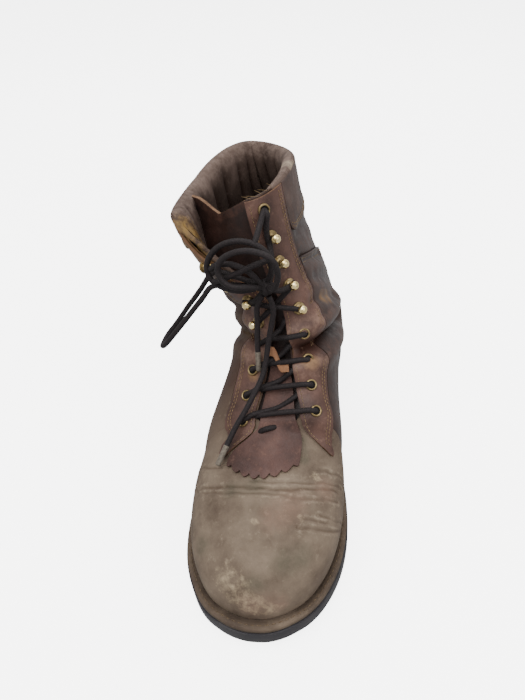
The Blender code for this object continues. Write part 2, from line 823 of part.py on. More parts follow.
def make_insole():
    reach = -(WALL + 7 * GAP)

    def top(at):
        return feather_height(at) + GAP + INSOLE_THICK

    def bottom(at):
        return feather_height(at) + GAP

    slab("insole", INSOLE_BOARD, reach, top, bottom)


EDGE_STEPS = 400


def eyelet_rows(side):
    """Rows of one side's eyelets, evenly spaced along the throat edge."""
    ends = FIRST_EYELET_ROW[side], TOP_EYELET_ROW[side]
    rows = [mix(*ends, i / EDGE_STEPS) for i in range(EDGE_STEPS + 1)]
    line = [on_upper(side, row, 0.0, 0.0) for row in rows]
    walked = [0.0]
    for low, high in zip(line, line[1:]):
        walked.append(walked[-1] + (high - low).length)
    places = []
    for i in range(EYELETS_A_SIDE):
        goal = walked[-1] * i / (EYELETS_A_SIDE - 1)
        places.append(rows[min(bisect.bisect_left(walked, goal), EDGE_STEPS)])
    return places


def seat_on_facing(obj, side, row):
    share = share_at(side, row, EYELET_SETBACK)
    normal = upper_normal(side, row, share)
    lift = OVERLAY_LIFT + OVERLAY + GAP
    obj.location = upper_point(side, row, share) + normal * lift * MM
    obj.rotation_mode = "QUATERNION"
    obj.rotation_quaternion = normal.to_track_quat("Z", "Y")


def make_eyelet(name, side, row):
    bpy.ops.mesh.primitive_torus_add(
        major_segments=10, minor_segments=4,
        major_radius=EYELET_RING * MM, minor_radius=EYELET_BEAD * MM)
    ring = bpy.context.object
    ring.name = name
    for collection in list(ring.users_collection):
        collection.objects.unlink(ring)
    parts.objects.link(ring)
    ring.data.materials.append(BRASS)
    for vertex in ring.data.vertices:
        vertex.co.z += EYELET_BEAD * MM
    shade(ring.data)
    seat_on_facing(ring, side, row)


# Ball hook: turned profile of flange, neck and ball, radius and height
Turn = namedtuple("Turn", "radius height")
HOOK_PROFILE = (
    Turn(0.0, 8.0),
    Turn(2.2, 7.2),
    Turn(2.9, 5.4),
    Turn(1.5, 3.0),
    Turn(4.2, 0.9),
    Turn(4.2, 0.0),
    Turn(0.0, 0.0),
)


def make_hook(name, side, row):
    profile = bmesh.new()
    corners = []
    for turn in HOOK_PROFILE:
        corners.append(profile.verts.new((turn.radius * MM, 0.0, turn.height * MM)))
    for low, high in zip(corners, corners[1:]):
        profile.edges.new((low, high))
    mesh = bpy.data.meshes.new(name)
    profile.to_mesh(mesh)
    profile.free()
    hook = add_object(name, mesh, BRASS)
    turned = hook.modifiers.new("turned", "SCREW")
    turned.steps = 8
    turned.render_steps = 8
    turned.use_merge_vertices = True
    turned.merge_threshold = 0.00001
    seat_on_facing(hook, side, row)


def tube(name, points, radius, resolution=2):
    """A cord along points in metres, with filled ends."""
    line = bpy.data.curves.new(name, "CURVE")
    line.dimensions = "3D"
    line.bevel_depth = radius * MM
    line.bevel_resolution = resolution
    line.use_fill_caps = True
    spline = line.splines.new("POLY")
    spline.points.add(len(points) - 1)
    for place, point in zip(spline.points, points):
        place.co = (*point, 1.0)
    obj = bpy.data.objects.new(name, line)
    parts.objects.link(obj)
    return obj


def meshed(curve):
    """The curve's solid as a mesh object of the same name."""
    name = curve.name
    seen = curve.evaluated_get(bpy.context.evaluated_depsgraph_get())
    mesh = bpy.data.meshes.new_from_object(seen)
    place = curve.matrix_world.copy()
    bpy.data.objects.remove(curve)
    solid = bmesh.new()
    solid.from_mesh(mesh)
    bmesh.ops.remove_doubles(solid, verts=solid.verts, dist=1e-6)
    solid.to_mesh(mesh)
    solid.free()
    obj = add_object(name, mesh, LACE_CORD)
    obj.matrix_world = place
    return obj


def make_lace_bars(rows):
    """Crossings over the throat, joined where they meet."""
    lift = OVERLAY_LIFT + OVERLAY + 2 * GAP + LACE_RADIUS
    turns = {
        (side, i): on_upper(side, rows[side][i], LACE_SETBACK, lift)
        for side in (INNER, OUTER) for i in range(LACED_PLACES)
    }
    runs = [((INNER, 0), (OUTER, 0))]
    for i in range(LACED_PLACES - 1):
        runs.append(((INNER, i), (OUTER, i + 1)))
        runs.append(((OUTER, i), (INNER, i + 1)))
    bars = []
    for i, (low, high) in enumerate(runs):
        bar = tube(f"lace_bar_{i}", (turns[low], turns[high]), LACE_RADIUS, resolution=1)
        bars.append(meshed(bar))
    whole = bars[0]
    whole.name = "lace_bars"
    for bar in bars[1:]:
        parts.objects.unlink(bar)
        cutters.objects.link(bar)
        bar.hide_render = True
        bar.display_type = "WIRE"
        join = whole.modifiers.new(bar.name, "BOOLEAN")
        join.operation = "UNION"
        join.object = bar


def at_knot(towards):
    """Where a stretch of lace leaves the knot on its way to a point."""
    way = (Vector(towards) - Vector(KNOT)).normalized()
    return Route(*(Vector(KNOT) + way * (KNOT_RADIUS + 2 * GAP)))


def make_cord(name, route, returns):
    """A free stretch of lace on a smooth curve, back to the knot if it returns."""
    stops = [at_knot(route[0])] + list(route)
    if returns:
        stops.append(at_knot(route[-1]))
    points = []
    for i in range((len(stops) - 1) * CORD_STEPS + 1):
        points.append(spot(*smooth(stops, i / CORD_STEPS)))
    cord = tube(name, points, LACE_RADIUS)
    cord.data.materials.append(LACE_CORD)


def make_knot():
    ball = bmesh.new()
    bmesh.ops.create_uvsphere(ball, u_segments=10, v_segments=6, radius=KNOT_RADIUS * MM)
    knot = add_object("lace_knot", to_mesh("lace_knot", ball), LACE_CORD)
    knot.location = spot(*KNOT)


PULL_TOP = 33.0          # upper end of the webbing, below the collar
PULL_LOW = 64.0
PULL_WIDTH = 18.0
PULL_THICK = 1.6
PULL_STAND = 9.0         # how far its middle stands off the back
PULL_STEPS = 12


def make_pull_loop():
    """Webbing sewn to the back seam, on the cuff above and on the shaft below."""
    ends = [row_below_collar(INNER, 1.0, depth) for depth in (PULL_TOP, PULL_LOW)]
    lifts = (OVERLAY_LIFT + OVERLAY + GAP + PULL_THICK / 2, GAP + PULL_THICK / 2)
    seats = [
        upper_point(INNER, row, 1.0) + upper_normal(INNER, row, 1.0) * lift * MM
        for row, lift in zip(ends, lifts)
    ]
    out = Vector((0.0, 1.0, 0.0))
    sideways = Vector((1.0, 0.0, 0.0))

    def place(a, b):
        bulge = out * PULL_STAND * math.sin(math.pi * a) * MM
        return seats[0].lerp(seats[1], a) + bulge + sideways * (b - 0.5) * PULL_WIDTH * MM

    sheet = grid(PULL_STEPS, 2, place)
    thicken(add_object("pull_loop", to_mesh("pull_loop", sheet), WEBBING), PULL_THICK, 0.0)


make_outsole()
make_heel()
make_welt()
make_insole()
make_upper()
make_tongue()
make_kiltie()
for way, side_name in ((INNER, "inner"), (OUTER, "outer")):
    make_facing(way, f"facing_{side_name}")
    make_quarter(way, f"quarter_{side_name}")
make_cuff()
make_pull_loop()
places = {way: eyelet_rows(way) for way in (INNER, OUTER)}
for way, side_name in ((INNER, "inner"), (OUTER, "outer")):
    for number, place_row in enumerate(places[way]):
        if number in HOOK_PLACES:
            make_hook(f"hook_{side_name}_{number + 1}", way, place_row)
        else:
            make_eyelet(f"eyelet_{side_name}_{number + 1}", way, place_row)
make_lace_bars(places)
make_knot()
make_cord("lace_upper_loop", UPPER_LOOP, returns=True)
make_cord("lace_inner_loop", INNER_LOOP, returns=True)
make_cord("lace_side_loop", SIDE_LOOP, returns=True)
make_cord("lace_long_end", LONG_END, returns=False)
make_cord("lace_short_end", SHORT_END, returns=False)
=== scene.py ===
"""Looks of the logger boot, a right boot that stands empty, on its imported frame.

Metres, +Z up, toe towards -Y, inner side of the foot towards +X.
The tables are in millimetres: "at" counts forward from the back of the heel,
"across" counts from the line heel to toe, plus towards the inner side.
"""
import bisect
import functools
import math
from collections import namedtuple

import bmesh
import bpy
import numpy as np
from mathutils import Matrix, Vector, noise


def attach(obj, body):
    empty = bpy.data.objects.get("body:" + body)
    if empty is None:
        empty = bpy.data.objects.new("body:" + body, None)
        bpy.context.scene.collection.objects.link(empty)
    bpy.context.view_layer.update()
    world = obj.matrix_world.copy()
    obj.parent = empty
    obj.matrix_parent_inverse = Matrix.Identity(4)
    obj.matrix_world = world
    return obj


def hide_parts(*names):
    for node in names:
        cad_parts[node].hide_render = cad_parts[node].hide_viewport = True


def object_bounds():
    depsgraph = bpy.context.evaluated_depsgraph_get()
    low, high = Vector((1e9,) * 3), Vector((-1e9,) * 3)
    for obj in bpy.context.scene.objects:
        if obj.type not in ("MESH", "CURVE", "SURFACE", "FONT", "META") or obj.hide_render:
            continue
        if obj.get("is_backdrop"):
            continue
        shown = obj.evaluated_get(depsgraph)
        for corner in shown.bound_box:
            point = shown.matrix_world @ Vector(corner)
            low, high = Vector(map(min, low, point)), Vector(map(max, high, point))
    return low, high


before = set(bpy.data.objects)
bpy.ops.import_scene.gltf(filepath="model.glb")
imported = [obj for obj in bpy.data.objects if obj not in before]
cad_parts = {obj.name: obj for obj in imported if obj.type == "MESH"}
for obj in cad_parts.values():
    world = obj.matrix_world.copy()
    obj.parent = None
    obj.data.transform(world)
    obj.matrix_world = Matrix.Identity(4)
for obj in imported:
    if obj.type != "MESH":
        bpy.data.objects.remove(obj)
cad_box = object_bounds()

MM = 0.001
INNER = 1
OUTER = -1

# Sizes of the construction
SOLE_LENGTH = 299.5
HEEL_BACK = -1.5
FOOT_LINE = 4.6
SOLE_REACH = 7.0
WELT_THICK = 3.6
SOLE_THICK = 9.2
HEEL_BREAST = 72.0
TREAD_DEPTH = 3.0
WALL = 2.4
OVERLAY = 1.4
OVERLAY_LIFT = 0.7
GAP = 0.3
INSOLE_THICK = 3.0
TONGUE_THICK = 2.2
KILTIE_THICK = 1.6
CUFF_HEIGHT = 36.0
EYELET_SETBACK = 9.5
EYELETS_A_SIDE = 9
HOOK_PLACES = (4, 5, 6, 7)
LACE_RADIUS = 1.7
FACE = OVERLAY_LIFT + OVERLAY
# The line where upper and welt meet: plan and height
Feather = namedtuple("Feather", "at inner outer height")
FEATHER = (
    Feather(5.5, 0.0, 0.0, 36.0),
    Feather(8.0, 11.5, 11.5, 36.0),
    Feather(15.0, 21.5, 21.5, 36.0),
    Feather(30.0, 29.0, 29.5, 36.0),
    Feather(50.0, 31.0, 32.0, 36.0),
    Feather(75.0, 30.0, 33.5, 36.0),
    Feather(100.0, 29.0, 36.5, 32.4),
    Feather(125.0, 29.5, 41.0, 26.6),
    Feather(155.0, 33.0, 46.5, 19.4),
    Feather(182.0, 38.0, 50.0, 14.8),
    Feather(205.0, 41.5, 51.5, 13.1),
    Feather(228.0, 42.5, 50.5, 13.1),
    Feather(250.0, 39.5, 45.5, 14.8),
    Feather(268.0, 33.0, 37.0, 17.4),
    Feather(280.0, 25.0, 28.0, 19.6),
    Feather(287.0, 15.5, 17.5, 21.0),
    Feather(290.3, 7.0, 8.0, 21.6),
    Feather(291.0, 0.0, 0.0, 21.8),
)

# Sections of the upper, from the toe over the throat and ankle to the collar.
# Each is a slice from its top point, on the vamp ridge or between the throat
# edges, to its low point, on the feather line or on the back seam.
Section = namedtuple(
    "Section",
    "top_at top_z top_x low_at low_z low_x half_inner half_outer gap_inner gap_outer widest tilt",
)
ON_FEATHER = 0.0
SECTIONS = (
    Section(291.0, 22.1, 0.0, 291.0, ON_FEATHER, 0.0, 0.0, 0.0, 0.0, 0.0, 0.30, 0.0),
    Section(290.0, 30.0, 0.0, 290.0, ON_FEATHER, 0.0, 8.6, 9.6, 0.0, 0.0, 0.30, 0.0),
    Section(286.5, 39.0, 0.5, 286.5, ON_FEATHER, 0.0, 17.4, 19.6, 0.0, 0.0, 0.30, 0.0),
    Section(280.0, 47.5, 1.0, 280.0, ON_FEATHER, 0.0, 26.6, 29.8, 0.0, 0.0, 0.30, 0.0),
    Section(270.0, 55.0, 1.5, 270.0, ON_FEATHER, 0.0, 34.2, 37.8, 0.0, 0.0, 0.30, 0.0),
    Section(255.0, 62.0, 2.5, 255.0, ON_FEATHER, 0.0, 40.6, 45.6, 0.0, 0.0, 0.30, 0.0),
    Section(235.0, 68.5, 3.5, 235.0, ON_FEATHER, 0.0, 44.6, 51.2, 0.0, 0.0, 0.30, 0.0),
    Section(215.0, 76.0, 4.5, 215.0, ON_FEATHER, 0.0, 45.0, 53.2, 0.0, 0.0, 0.31, 0.0),
    Section(203.0, 82.0, 5.0, 203.0, ON_FEATHER, 0.0, 44.0, 53.2, 0.0, 0.0, 0.32, 0.05),
    Section(196.0, 88.0, 4.5, 185.0, ON_FEATHER, 0.0, 42.0, 52.4, 13.0, 13.0, 0.33, 0.14),
    Section(184.0, 97.0, 4.0, 160.0, ON_FEATHER, 0.0, 39.0, 49.5, 11.0, 11.0, 0.34, 0.18),
    Section(174.0, 106.5, 4.0, 130.0, ON_FEATHER, 0.0, 36.5, 45.5, 8.5, 8.5, 0.35, 0.22),
    Section(167.0, 116.5, 4.0, 98.0, ON_FEATHER, 0.0, 35.5, 41.5, 6.5, 6.5, 0.36, 0.27),
    Section(162.0, 126.5, 4.0, 65.0, ON_FEATHER, 0.0, 35.5, 39.0, 4.5, 4.5, 0.38, 0.31),
    Section(159.0, 135.0, 4.0, 35.0, ON_FEATHER, 0.0, 33.5, 38.0, 3.0, 3.0, 0.40, 0.35),
    Section(157.0, 142.0, 3.0, 14.0, ON_FEATHER, 0.0, 32.0, 37.5, 2.5, 2.5, 0.42, 0.37),
    Section(156.0, 146.0, 2.0, 7.5, ON_FEATHER, 0.0, 31.0, 37.0, 2.5, 2.5, 0.43, 0.37),
    Section(155.0, 150.0, 0.5, 5.5, ON_FEATHER, 0.0, 30.0, 36.5, 2.5, 3.0, 0.44, 0.37),
    Section(154.0, 156.0, -3.0, 2.5, 62.0, -2.0, 29.0, 36.0, 3.0, 4.5, 0.46, 0.35),
    Section(153.0, 164.5, -8.5, 6.0, 92.0, -8.0, 29.0, 35.0, 5.0, 9.5, 0.49, 0.32),
    Section(152.0, 174.5, -14.5, 14.0, 122.0, -15.5, 31.0, 33.0, 8.0, 16.5, 0.52, 0.29),
    Section(151.0, 185.0, -20.5, 22.0, 150.0, -21.0, 33.5, 30.5, 11.5, 21.5, 0.56, 0.26),
    Section(150.0, 195.0, -26.0, 27.0, 176.0, -25.5, 36.0, 28.5, 15.0, 22.5, 0.60, 0.24),
    Section(148.0, 205.0, -31.0, 28.0, 198.0, -28.5, 37.5, 26.5, 18.0, 21.0, 0.64, 0.25),
)
COLLAR_ROW = len(SECTIONS) - 1
FIRST_EYELET_ROW = {INNER: 9.25, OUTER: 8.95}
TOP_EYELET_ROW = {INNER: 22.3, OUTER: 21.4}
ROUND_TOP = 0.86
ROUND_LOW = 1.0

# Facing with its front tab: borders in millimetres from the throat edge
Facing = namedtuple("Facing", "row near far")
FACING_STRIP = (
    Facing(9.0, 0.6, 22.0),
    Facing(10.0, 0.6, 21.0),
    Facing(11.0, 0.6, 22.0),
    Facing(13.0, 0.6, 24.0),
    Facing(16.0, 0.6, 26.0),
    Facing(22.9, 0.6, 28.0),
)
FACING = {
    INNER: (
        Facing(7.5, 34.0, 36.5),
        Facing(7.7, 26.5, 37.0),
        Facing(8.2, 15.5, 33.0),
        Facing(8.6, 6.5, 26.5),
    ) + FACING_STRIP,
    OUTER: (
        Facing(7.0, 33.5, 35.5),
        Facing(7.25, 28.5, 37.0),
        Facing(7.7, 20.5, 36.0),
        Facing(8.2, 14.0, 31.0),
        Facing(8.6, 6.0, 25.5),
    ) + FACING_STRIP,
}

# Quarter: its lower border in millimetres above the end of the section
Quarter = namedtuple("Quarter", "row above")
QUARTER = (
    Quarter(8.9, 34.0),
    Quarter(10.0, 33.0),
    Quarter(12.0, 30.0),
    Quarter(14.0, 28.0),
    Quarter(15.0, 26.0),
    Quarter(16.0, 22.0),
    Quarter(17.0, 14.0),
    Quarter(18.0, 0.6),
    Quarter(19.3, 0.6),
)

# Kiltie: reach to both sides of the middle, and height over the upper's line
Kiltie = namedtuple("Kiltie", "row inner outer lift")
KILTIE = (
    Kiltie(6.35, 14.0, 29.5, 0.8),
    Kiltie(6.9, 15.0, 29.0, 0.8),
    Kiltie(7.2, 15.0, 26.0, 0.8),
    Kiltie(7.5, 15.0, 21.5, 0.8),
    Kiltie(7.8, 14.5, 17.0, 0.9),
    Kiltie(8.3, 13.0, 12.5, 1.0),
    Kiltie(8.8, 11.2, 11.0, 1.0),
    Kiltie(9.3, 10.4, 10.4, 0.2),
    Kiltie(10.0, 9.0, 9.0, -1.6),
    Kiltie(11.0, 6.8, 6.8, -1.6),
    Kiltie(11.7, 5.6, 5.6, 2.0),
)
KILTIE_POINTS = 7
KILTIE_TOOTH = 0.12      # depth of the pinked edge, in rows
KILTIE_BOW = 0.45        # how far that edge draws back at its corners, in rows

# Tongue: reach behind the facings, sag between them, and how far its outer
# half leaves the wall and folds back into the boot
Tongue = namedtuple("Tongue", "row reach sag fold")
TONGUE = (
    Tongue(7.7, 15.0, 0.6, 0.0),
    Tongue(8.5, 14.0, 0.6, 0.0),
    Tongue(10.0, 14.0, 0.6, 0.0),
    Tongue(14.0, 14.0, 0.6, 0.0),
    Tongue(18.0, 14.0, 1.2, 0.05),
    Tongue(20.0, 14.0, 2.0, 0.45),
    Tongue(21.5, 14.0, 2.0, 0.85),
    Tongue(22.6, 14.0, 2.0, 1.0),
)
FOLD_REACH = 34.0        # where the folded half meets the outer wall
FOLD_BACK = 9.0          # its crease, behind the line between the throat edges
FOLD_SHARE = 0.55        # and along that line, from the outer edge

# The bow: its knot, and the routes of the free stretches that leave it
Route = namedtuple("Route", "at across height")
KNOT = Route(165.7, -1.5, 165.0)
UPPER_LOOP = (
    Route(168.0, 3.0, 178.0),
    Route(168.0, 1.5, 188.0),
    Route(167.0, -5.5, 193.5),
    Route(166.0, -15.0, 194.5),
    Route(165.0, -24.5, 191.0),
    Route(164.5, -31.5, 184.0),
    Route(165.0, -34.5, 175.5),
    Route(166.5, -31.5, 168.0),
    Route(168.5, -24.0, 165.0),
    Route(170.5, -15.0, 165.0),
)
INNER_LOOP = (
    Route(175.5, 5.0, 170.5),
    Route(177.5, 8.0, 180.0),
    Route(178.5, 6.5, 189.5),
    Route(178.0, 0.5, 194.0),
    Route(177.0, -8.0, 195.0),
    Route(176.0, -16.5, 192.5),
    Route(175.5, -23.0, 187.5),
    Route(175.5, -25.2, 181.0),
    Route(176.4, -23.0, 175.0),
    Route(177.0, -17.5, 172.0),
    Route(176.2, -11.0, 171.5),
    Route(173.5, -6.5, 169.5),
)
SIDE_LOOP = (
    Route(160.0, -26.5, 162.0),
    Route(160.0, -35.5, 160.0),
    Route(161.0, -40.5, 154.0),
    Route(162.0, -54.5, 136.5),
    Route(162.0, -62.5, 126.5),
    Route(161.0, -70.5, 116.5),
    Route(158.5, -74.5, 112.0),
    Route(152.5, -76.0, 110.0),
    Route(146.5, -74.5, 112.0),
    Route(144.0, -70.5, 116.5),
    Route(144.5, -64.5, 124.5),
    Route(146.5, -58.0, 134.0),
    Route(153.0, -44.0, 154.0),
    Route(156.0, -38.0, 163.5),
    Route(158.5, -31.5, 170.0),
    Route(160.5, -22.0, 169.0),
)
LONG_END = (
    Route(167.5, 2.0, 150.0),
    Route(170.0, -0.5, 136.5),
    Route(174.0, -3.0, 122.5),
    Route(180.5, -5.5, 110.5),
    Route(190.0, -10.5, 102.0),
    Route(197.5, -15.5, 94.5),
    Route(203.0, -20.0, 88.5),
    Route(208.0, -23.5, 83.0),
    Route(212.5, -26.0, 79.0),
)
SHORT_END = (
    Route(165.5, -8.0, 150.0),
    Route(167.5, -8.5, 139.0),
    Route(170.0, -9.0, 129.5),
    Route(172.5, -9.0, 121.5),
)
KNOT_RADIUS = 5.5
CORD_STEPS = 2           # facets along a cord between two stops

# Creases of the worn leather: soft troughs along paths on the upper; shade is how much painted
# shade each trough gets in the leather's colour.
# Each stop is a row and a reach from the middle line, plus towards the inner side.
Crease = namedtuple("Crease", "width depth shade path")
CREASES = (
    # across the vamp, where the toes bend
    Crease(0.9, 0.55, 0.55, (
        (6.35, -50), (6.15, -32), (6.02, -12), (5.98, 4), (6.1, 20), (6.5, 46))),
    Crease(0.8, 0.35, 0.55, ((6.1, -44), (5.95, -28), (5.86, -10), (5.86, 10))),
    Crease(0.8, 0.35, 0.55, ((6.2, -14), (6.18, 6), (6.3, 24), (6.7, 50))),
    Crease(0.9, 0.4, 0.55, ((5.8, 8), (5.86, 24), (6.2, 46))),
    Crease(1.0, 0.6, 0.55, ((5.0, 18), (5.12, 30), (5.3, 42), (5.7, 58))),
    Crease(0.8, 0.35, 0.55, ((5.3, 22), (5.4, 36), (5.75, 56))),
    Crease(0.9, 0.4, 0.55, ((5.5, 30), (5.6, 42), (5.95, 60))),
    Crease(0.9, 0.45, 0.55, ((6.7, 26), (6.85, 38), (7.2, 56))),
    Crease(0.9, 0.45, 0.55, ((6.7, -34), (6.9, -46), (7.3, -62))),
    Crease(0.8, 0.35, 0.55, ((6.3, -52), (6.55, -60), (6.9, -70))),
    Crease(3.5, 0.6, 0.15, ((6.2, -40), (6.0, -10), (6.05, 14), (6.5, 46))),
    # the ankle, where the slack shaft folds over the foot
    Crease(5.5, 7.5, 1.0, ((12.0, 13), (12.3, 26), (12.8, 43), (13.6, 80), (14.2, 118))),
    Crease(5.5, 3.8, 1.0, ((13.1, -17), (13.8, -32), (14.4, -60), (14.8, -96))),
    Crease(3.4, 1.4, 0.4, ((13.9, 30), (14.3, 52), (15.0, 90))),
    Crease(4.0, 2.0, 0.4, ((15.2, 24), (15.4, 50), (15.8, 84))),
    Crease(4.5, 2.2, 0.4, ((17.0, -20), (17.4, -50), (17.6, -92))),
    # the shaft
    Crease(3.2, 1.8, 0.4, ((19.1, 40), (19.0, 66), (19.0, 104))),
    Crease(4.0, 1.0, 0.4, ((18.0, 44), (17.8, 80), (17.9, 120))),
    Crease(4.5, 1.2, 0.4, ((20.6, 52), (20.4, 80), (20.6, 112))),
    Crease(5.0, 1.4, 0.4, ((20.2, -40), (20.0, -70), (20.1, -104))),
)

# Places where the leather took another tone or works: row, reach and size
Patch = namedtuple("Patch", "row reach size")
PATCHES = {
    # pale scuffs on the toe
    "scuff": (
        Patch(3.2, -20, 13), Patch(2.4, -12, 12), Patch(1.7, -4, 12), Patch(1.3, 8, 11),
        Patch(5.1, -6, 6), Patch(5.3, 20, 6), Patch(6.5, 26, 8),
    ),
    # cream patch on the lining
    "cream": (Patch(22.5, 72, 9),),
    # greenish dark grime on toe and vamp, and painted shade beside the kiltie's inner edge
    "grime": (
        Patch(3.8, 14, 9), Patch(4.2, 24, 8), Patch(2.6, -2, 8), Patch(4.6, -40, 8),
        # the first three patches on this line are painted shade along the kiltie's inner edge
        Patch(7.7, 15, 4), Patch(7.3, 17, 4), Patch(6.9, 18, 4), Patch(6.1, -10, 8),
        Patch(6.0, -24, 7),
    ),
    # rosy leather where the surface is rubbed through
    "rosy": (
        Patch(5.6, 14, 11), Patch(5.2, 4, 10), Patch(1.6, -2, 10), Patch(1.8, 12, 8),
        Patch(6.3, 34, 9),
    ),
    # tan flesh of the leather, worn bare
    "bare": (
        Patch(22.4, -27, 9), Patch(21.8, -28, 9), Patch(21.1, -27, 9), Patch(20.4, -24, 9),
        Patch(15.4, 42, 7), Patch(15.5, 54, 7), Patch(11.0, -17, 5), Patch(11.3, 18, 6),
    ),
    # where the toes bend the vamp into fine wrinkles
    "flex": (Patch(6.2, -34, 16), Patch(6.0, -8, 14), Patch(6.0, 16, 15), Patch(6.3, 44, 18)),
}


def spot(at, across, height):
    """A point of the tables, in metres in the boot's frame."""
    return Vector((FOOT_LINE + across, SOLE_LENGTH / 2 + HEEL_BACK - at, height)) * MM


def mix(low, high, share):
    return low + (high - low) * share


def smooth(values, position):
    """Read a list of tuples at a fractional index, on a smooth curve."""
    last = len(values) - 1
    start = min(max(int(position), 0), last - 1)
    step = position - start
    before = values[max(start - 1, 0)]
    after = values[min(start + 2, last)]
    row = []
    for a, b, c, d in zip(before, values[start], values[start + 1], after):
        slope_b = (c - a) / 2
        slope_c = (d - b) / 2
        lead = (2 * step ** 3 - 3 * step ** 2 + 1) * b + (3 * step ** 2 - 2 * step ** 3) * c
        turn = (step ** 3 - 2 * step ** 2 + step) * slope_b + (step ** 3 - step ** 2) * slope_c
        row.append(lead + turn)
    return row


def straight(table, key):
    """Read a table whose first column rises, in straight lines."""
    keys = [row[0] for row in table]
    last = min(max(bisect.bisect_right(keys, key), 1), len(table) - 1)
    low = table[last - 1]
    high = table[last]
    share = min(max((key - low[0]) / (high[0] - low[0]), 0.0), 1.0)
    return type(low)(*[mix(a, b, share) for a, b in zip(low, high)])


OUTLINE_STEPS = 8


@functools.lru_cache(maxsize=None)
def outline(reach, side):
    """Stations and half widths of one side, reach outside the feather line."""
    loop = [(row.at, row.inner) for row in FEATHER]
    loop += [(row.at, -row.outer) for row in reversed(FEATHER[1:-1])]
    count = len(loop) * OUTLINE_STEPS
    closed = loop[-2:] + loop + loop[:3]
    ring = [smooth(closed, 2 + i / OUTLINE_STEPS) for i in range(count)]
    edge = []
    for i, (at, across) in enumerate(ring):
        before = ring[i - 1]
        after = ring[(i + 1) % count]
        run = Vector((after[0] - before[0], after[1] - before[1])).normalized()
        edge.append((at - run.y * reach, across + run.x * reach))
    tip = (len(FEATHER) - 1) * OUTLINE_STEPS
    half = edge[:tip + 1] if side == INNER else [edge[0]] + edge[:tip - 1:-1]
    return sorted((at, side * across) for at, across in half)


def sole_ends(reach):
    line = outline(reach, INNER)
    return line[0][0], line[-1][0]


Half = namedtuple("Half", "at width")


@functools.lru_cache(maxsize=None)
def half_rows(reach, side):
    return [Half(*row) for row in outline(reach, side)]


def half_width(at, reach, side):
    return straight(half_rows(reach, side), at).width


FEATHER_HEIGHTS = [(row.at, row.height) for row in FEATHER]


def feather_height(at):
    """Height of the feather line, smooth along the sole."""
    keys = [row[0] for row in FEATHER_HEIGHTS]
    start = min(max(bisect.bisect_right(keys, at), 1), len(keys) - 1) - 1
    share = (at - keys[start]) / (keys[start + 1] - keys[start])
    return smooth(FEATHER_HEIGHTS, start + min(max(share, 0.0), 1.0))[1]


Slice = namedtuple("Slice", Section._fields + ("foot_inner", "foot_outer"))


def stand(row):
    """A section with its foot on the feather line."""
    feet = [half_width(row.low_at, 0.0, side) for side in (INNER, OUTER)]
    height = feather_height(row.low_at) + 3 * GAP
    return Slice(*row._replace(low_z=height)[:len(Section._fields)], *feet)


def full_slice(row):
    """A section on the feather line, or closed at the back seam."""
    return stand(row) if row.low_z == ON_FEATHER else Slice(*row, 0.0, 0.0)


SLICES = [full_slice(row) for row in SECTIONS]
LAST_STANDING = max(i for i, row in enumerate(SECTIONS) if row.low_z == ON_FEATHER)


@functools.lru_cache(maxsize=None)
def slice_at(row):
    found = Slice(*smooth(SLICES, row))
    return stand(found) if row <= LAST_STANDING else found


def throat_gap(side, row):
    """Distance of a throat edge from the section's middle line."""
    cut = slice_at(row)
    return max(cut.gap_inner if side == INNER else cut.gap_outer, 0.0)


def upper_point(side, row, round_share):
    """Outer face of the upper: 0 at ridge or throat edge, 1 at the low end."""
    cut = slice_at(row)
    half = cut.half_inner if side == INNER else cut.half_outer
    foot = max(cut.foot_inner if side == INNER else cut.foot_outer, 0.0)
    gap = throat_gap(side, row)
    turn = min(max(round_share, 0.0), 1.0) * math.pi
    if turn <= math.pi / 2:
        across = gap + (half - gap) * math.sin(turn) ** ROUND_TOP
        rise = cut.widest + (1 - cut.widest) * max(math.cos(turn), 0.0) ** ROUND_TOP
    else:
        turn -= math.pi / 2
        across = foot + (half - foot) * max(math.cos(turn), 0.0) ** ROUND_LOW
        rise = cut.widest * (1 - math.sin(turn) ** ROUND_LOW)
    middle = cut.low_x + (cut.top_x - cut.low_x) * rise
    lean = cut.tilt * side * across * min(2 * rise, 1.0)
    return spot(
        cut.low_at + (cut.top_at - cut.low_at) * rise,
        middle + side * across,
        cut.low_z + (cut.top_z - cut.low_z) * rise + lean,
    )


def upper_normal(side, row, round_share):
    """Outward direction of the upper's face."""
    step = 0.02
    here = min(max(round_share, step), 1 - step)
    along = min(max(row, step), COLLAR_ROW - step)
    up = upper_point(side, along + step, here) - upper_point(side, along - step, here)
    down = upper_point(side, along, here + step) - upper_point(side, along, here - step)
    return (up.cross(down) * -side).normalized()


WALK_STEPS = 40


def walk(points):
    """Distance in millimetres along a line, from its start to each of its points."""
    walked = [0.0]
    for low, high in zip(points, points[1:]):
        walked.append(walked[-1] + (high - low).length / MM)
    return walked


@functools.lru_cache(maxsize=None)
def walk_lengths(side, row):
    """Distance in millimetres from the throat edge at each step of a slice."""
    return walk([upper_point(side, row, i / WALK_STEPS) for i in range(WALK_STEPS + 1)])


def share_at(side, row, distance):
    """Round share at a distance in millimetres from the throat edge."""
    lengths = walk_lengths(side, row)
    place = min(max(bisect.bisect_right(lengths, distance), 1), WALK_STEPS)
    low = lengths[place - 1]
    high = lengths[place]
    return (place - 1 + min(max((distance - low) / (high - low), 0.0), 1.0)) / WALK_STEPS


def on_upper(side, row, distance, lift):
    """A point at a distance from the throat edge, lifted off the wall."""
    share = share_at(side, row, distance)
    return upper_point(side, row, share) + upper_normal(side, row, share) * lift * MM


def across_throat(row, distance, lift):
    """A point across the throat: distance from the edges' middle, plus inner."""
    side = INNER if distance >= 0 else OUTER
    beyond = abs(distance) - throat_gap(side, row)
    if beyond > 0:
        return on_upper(side, row, beyond, lift)
    outer = throat_gap(OUTER, row)
    width = throat_gap(INNER, row) + outer
    share = (distance + outer) / width if width > 0 else 0.5
    return throat_line(row, share, lift)


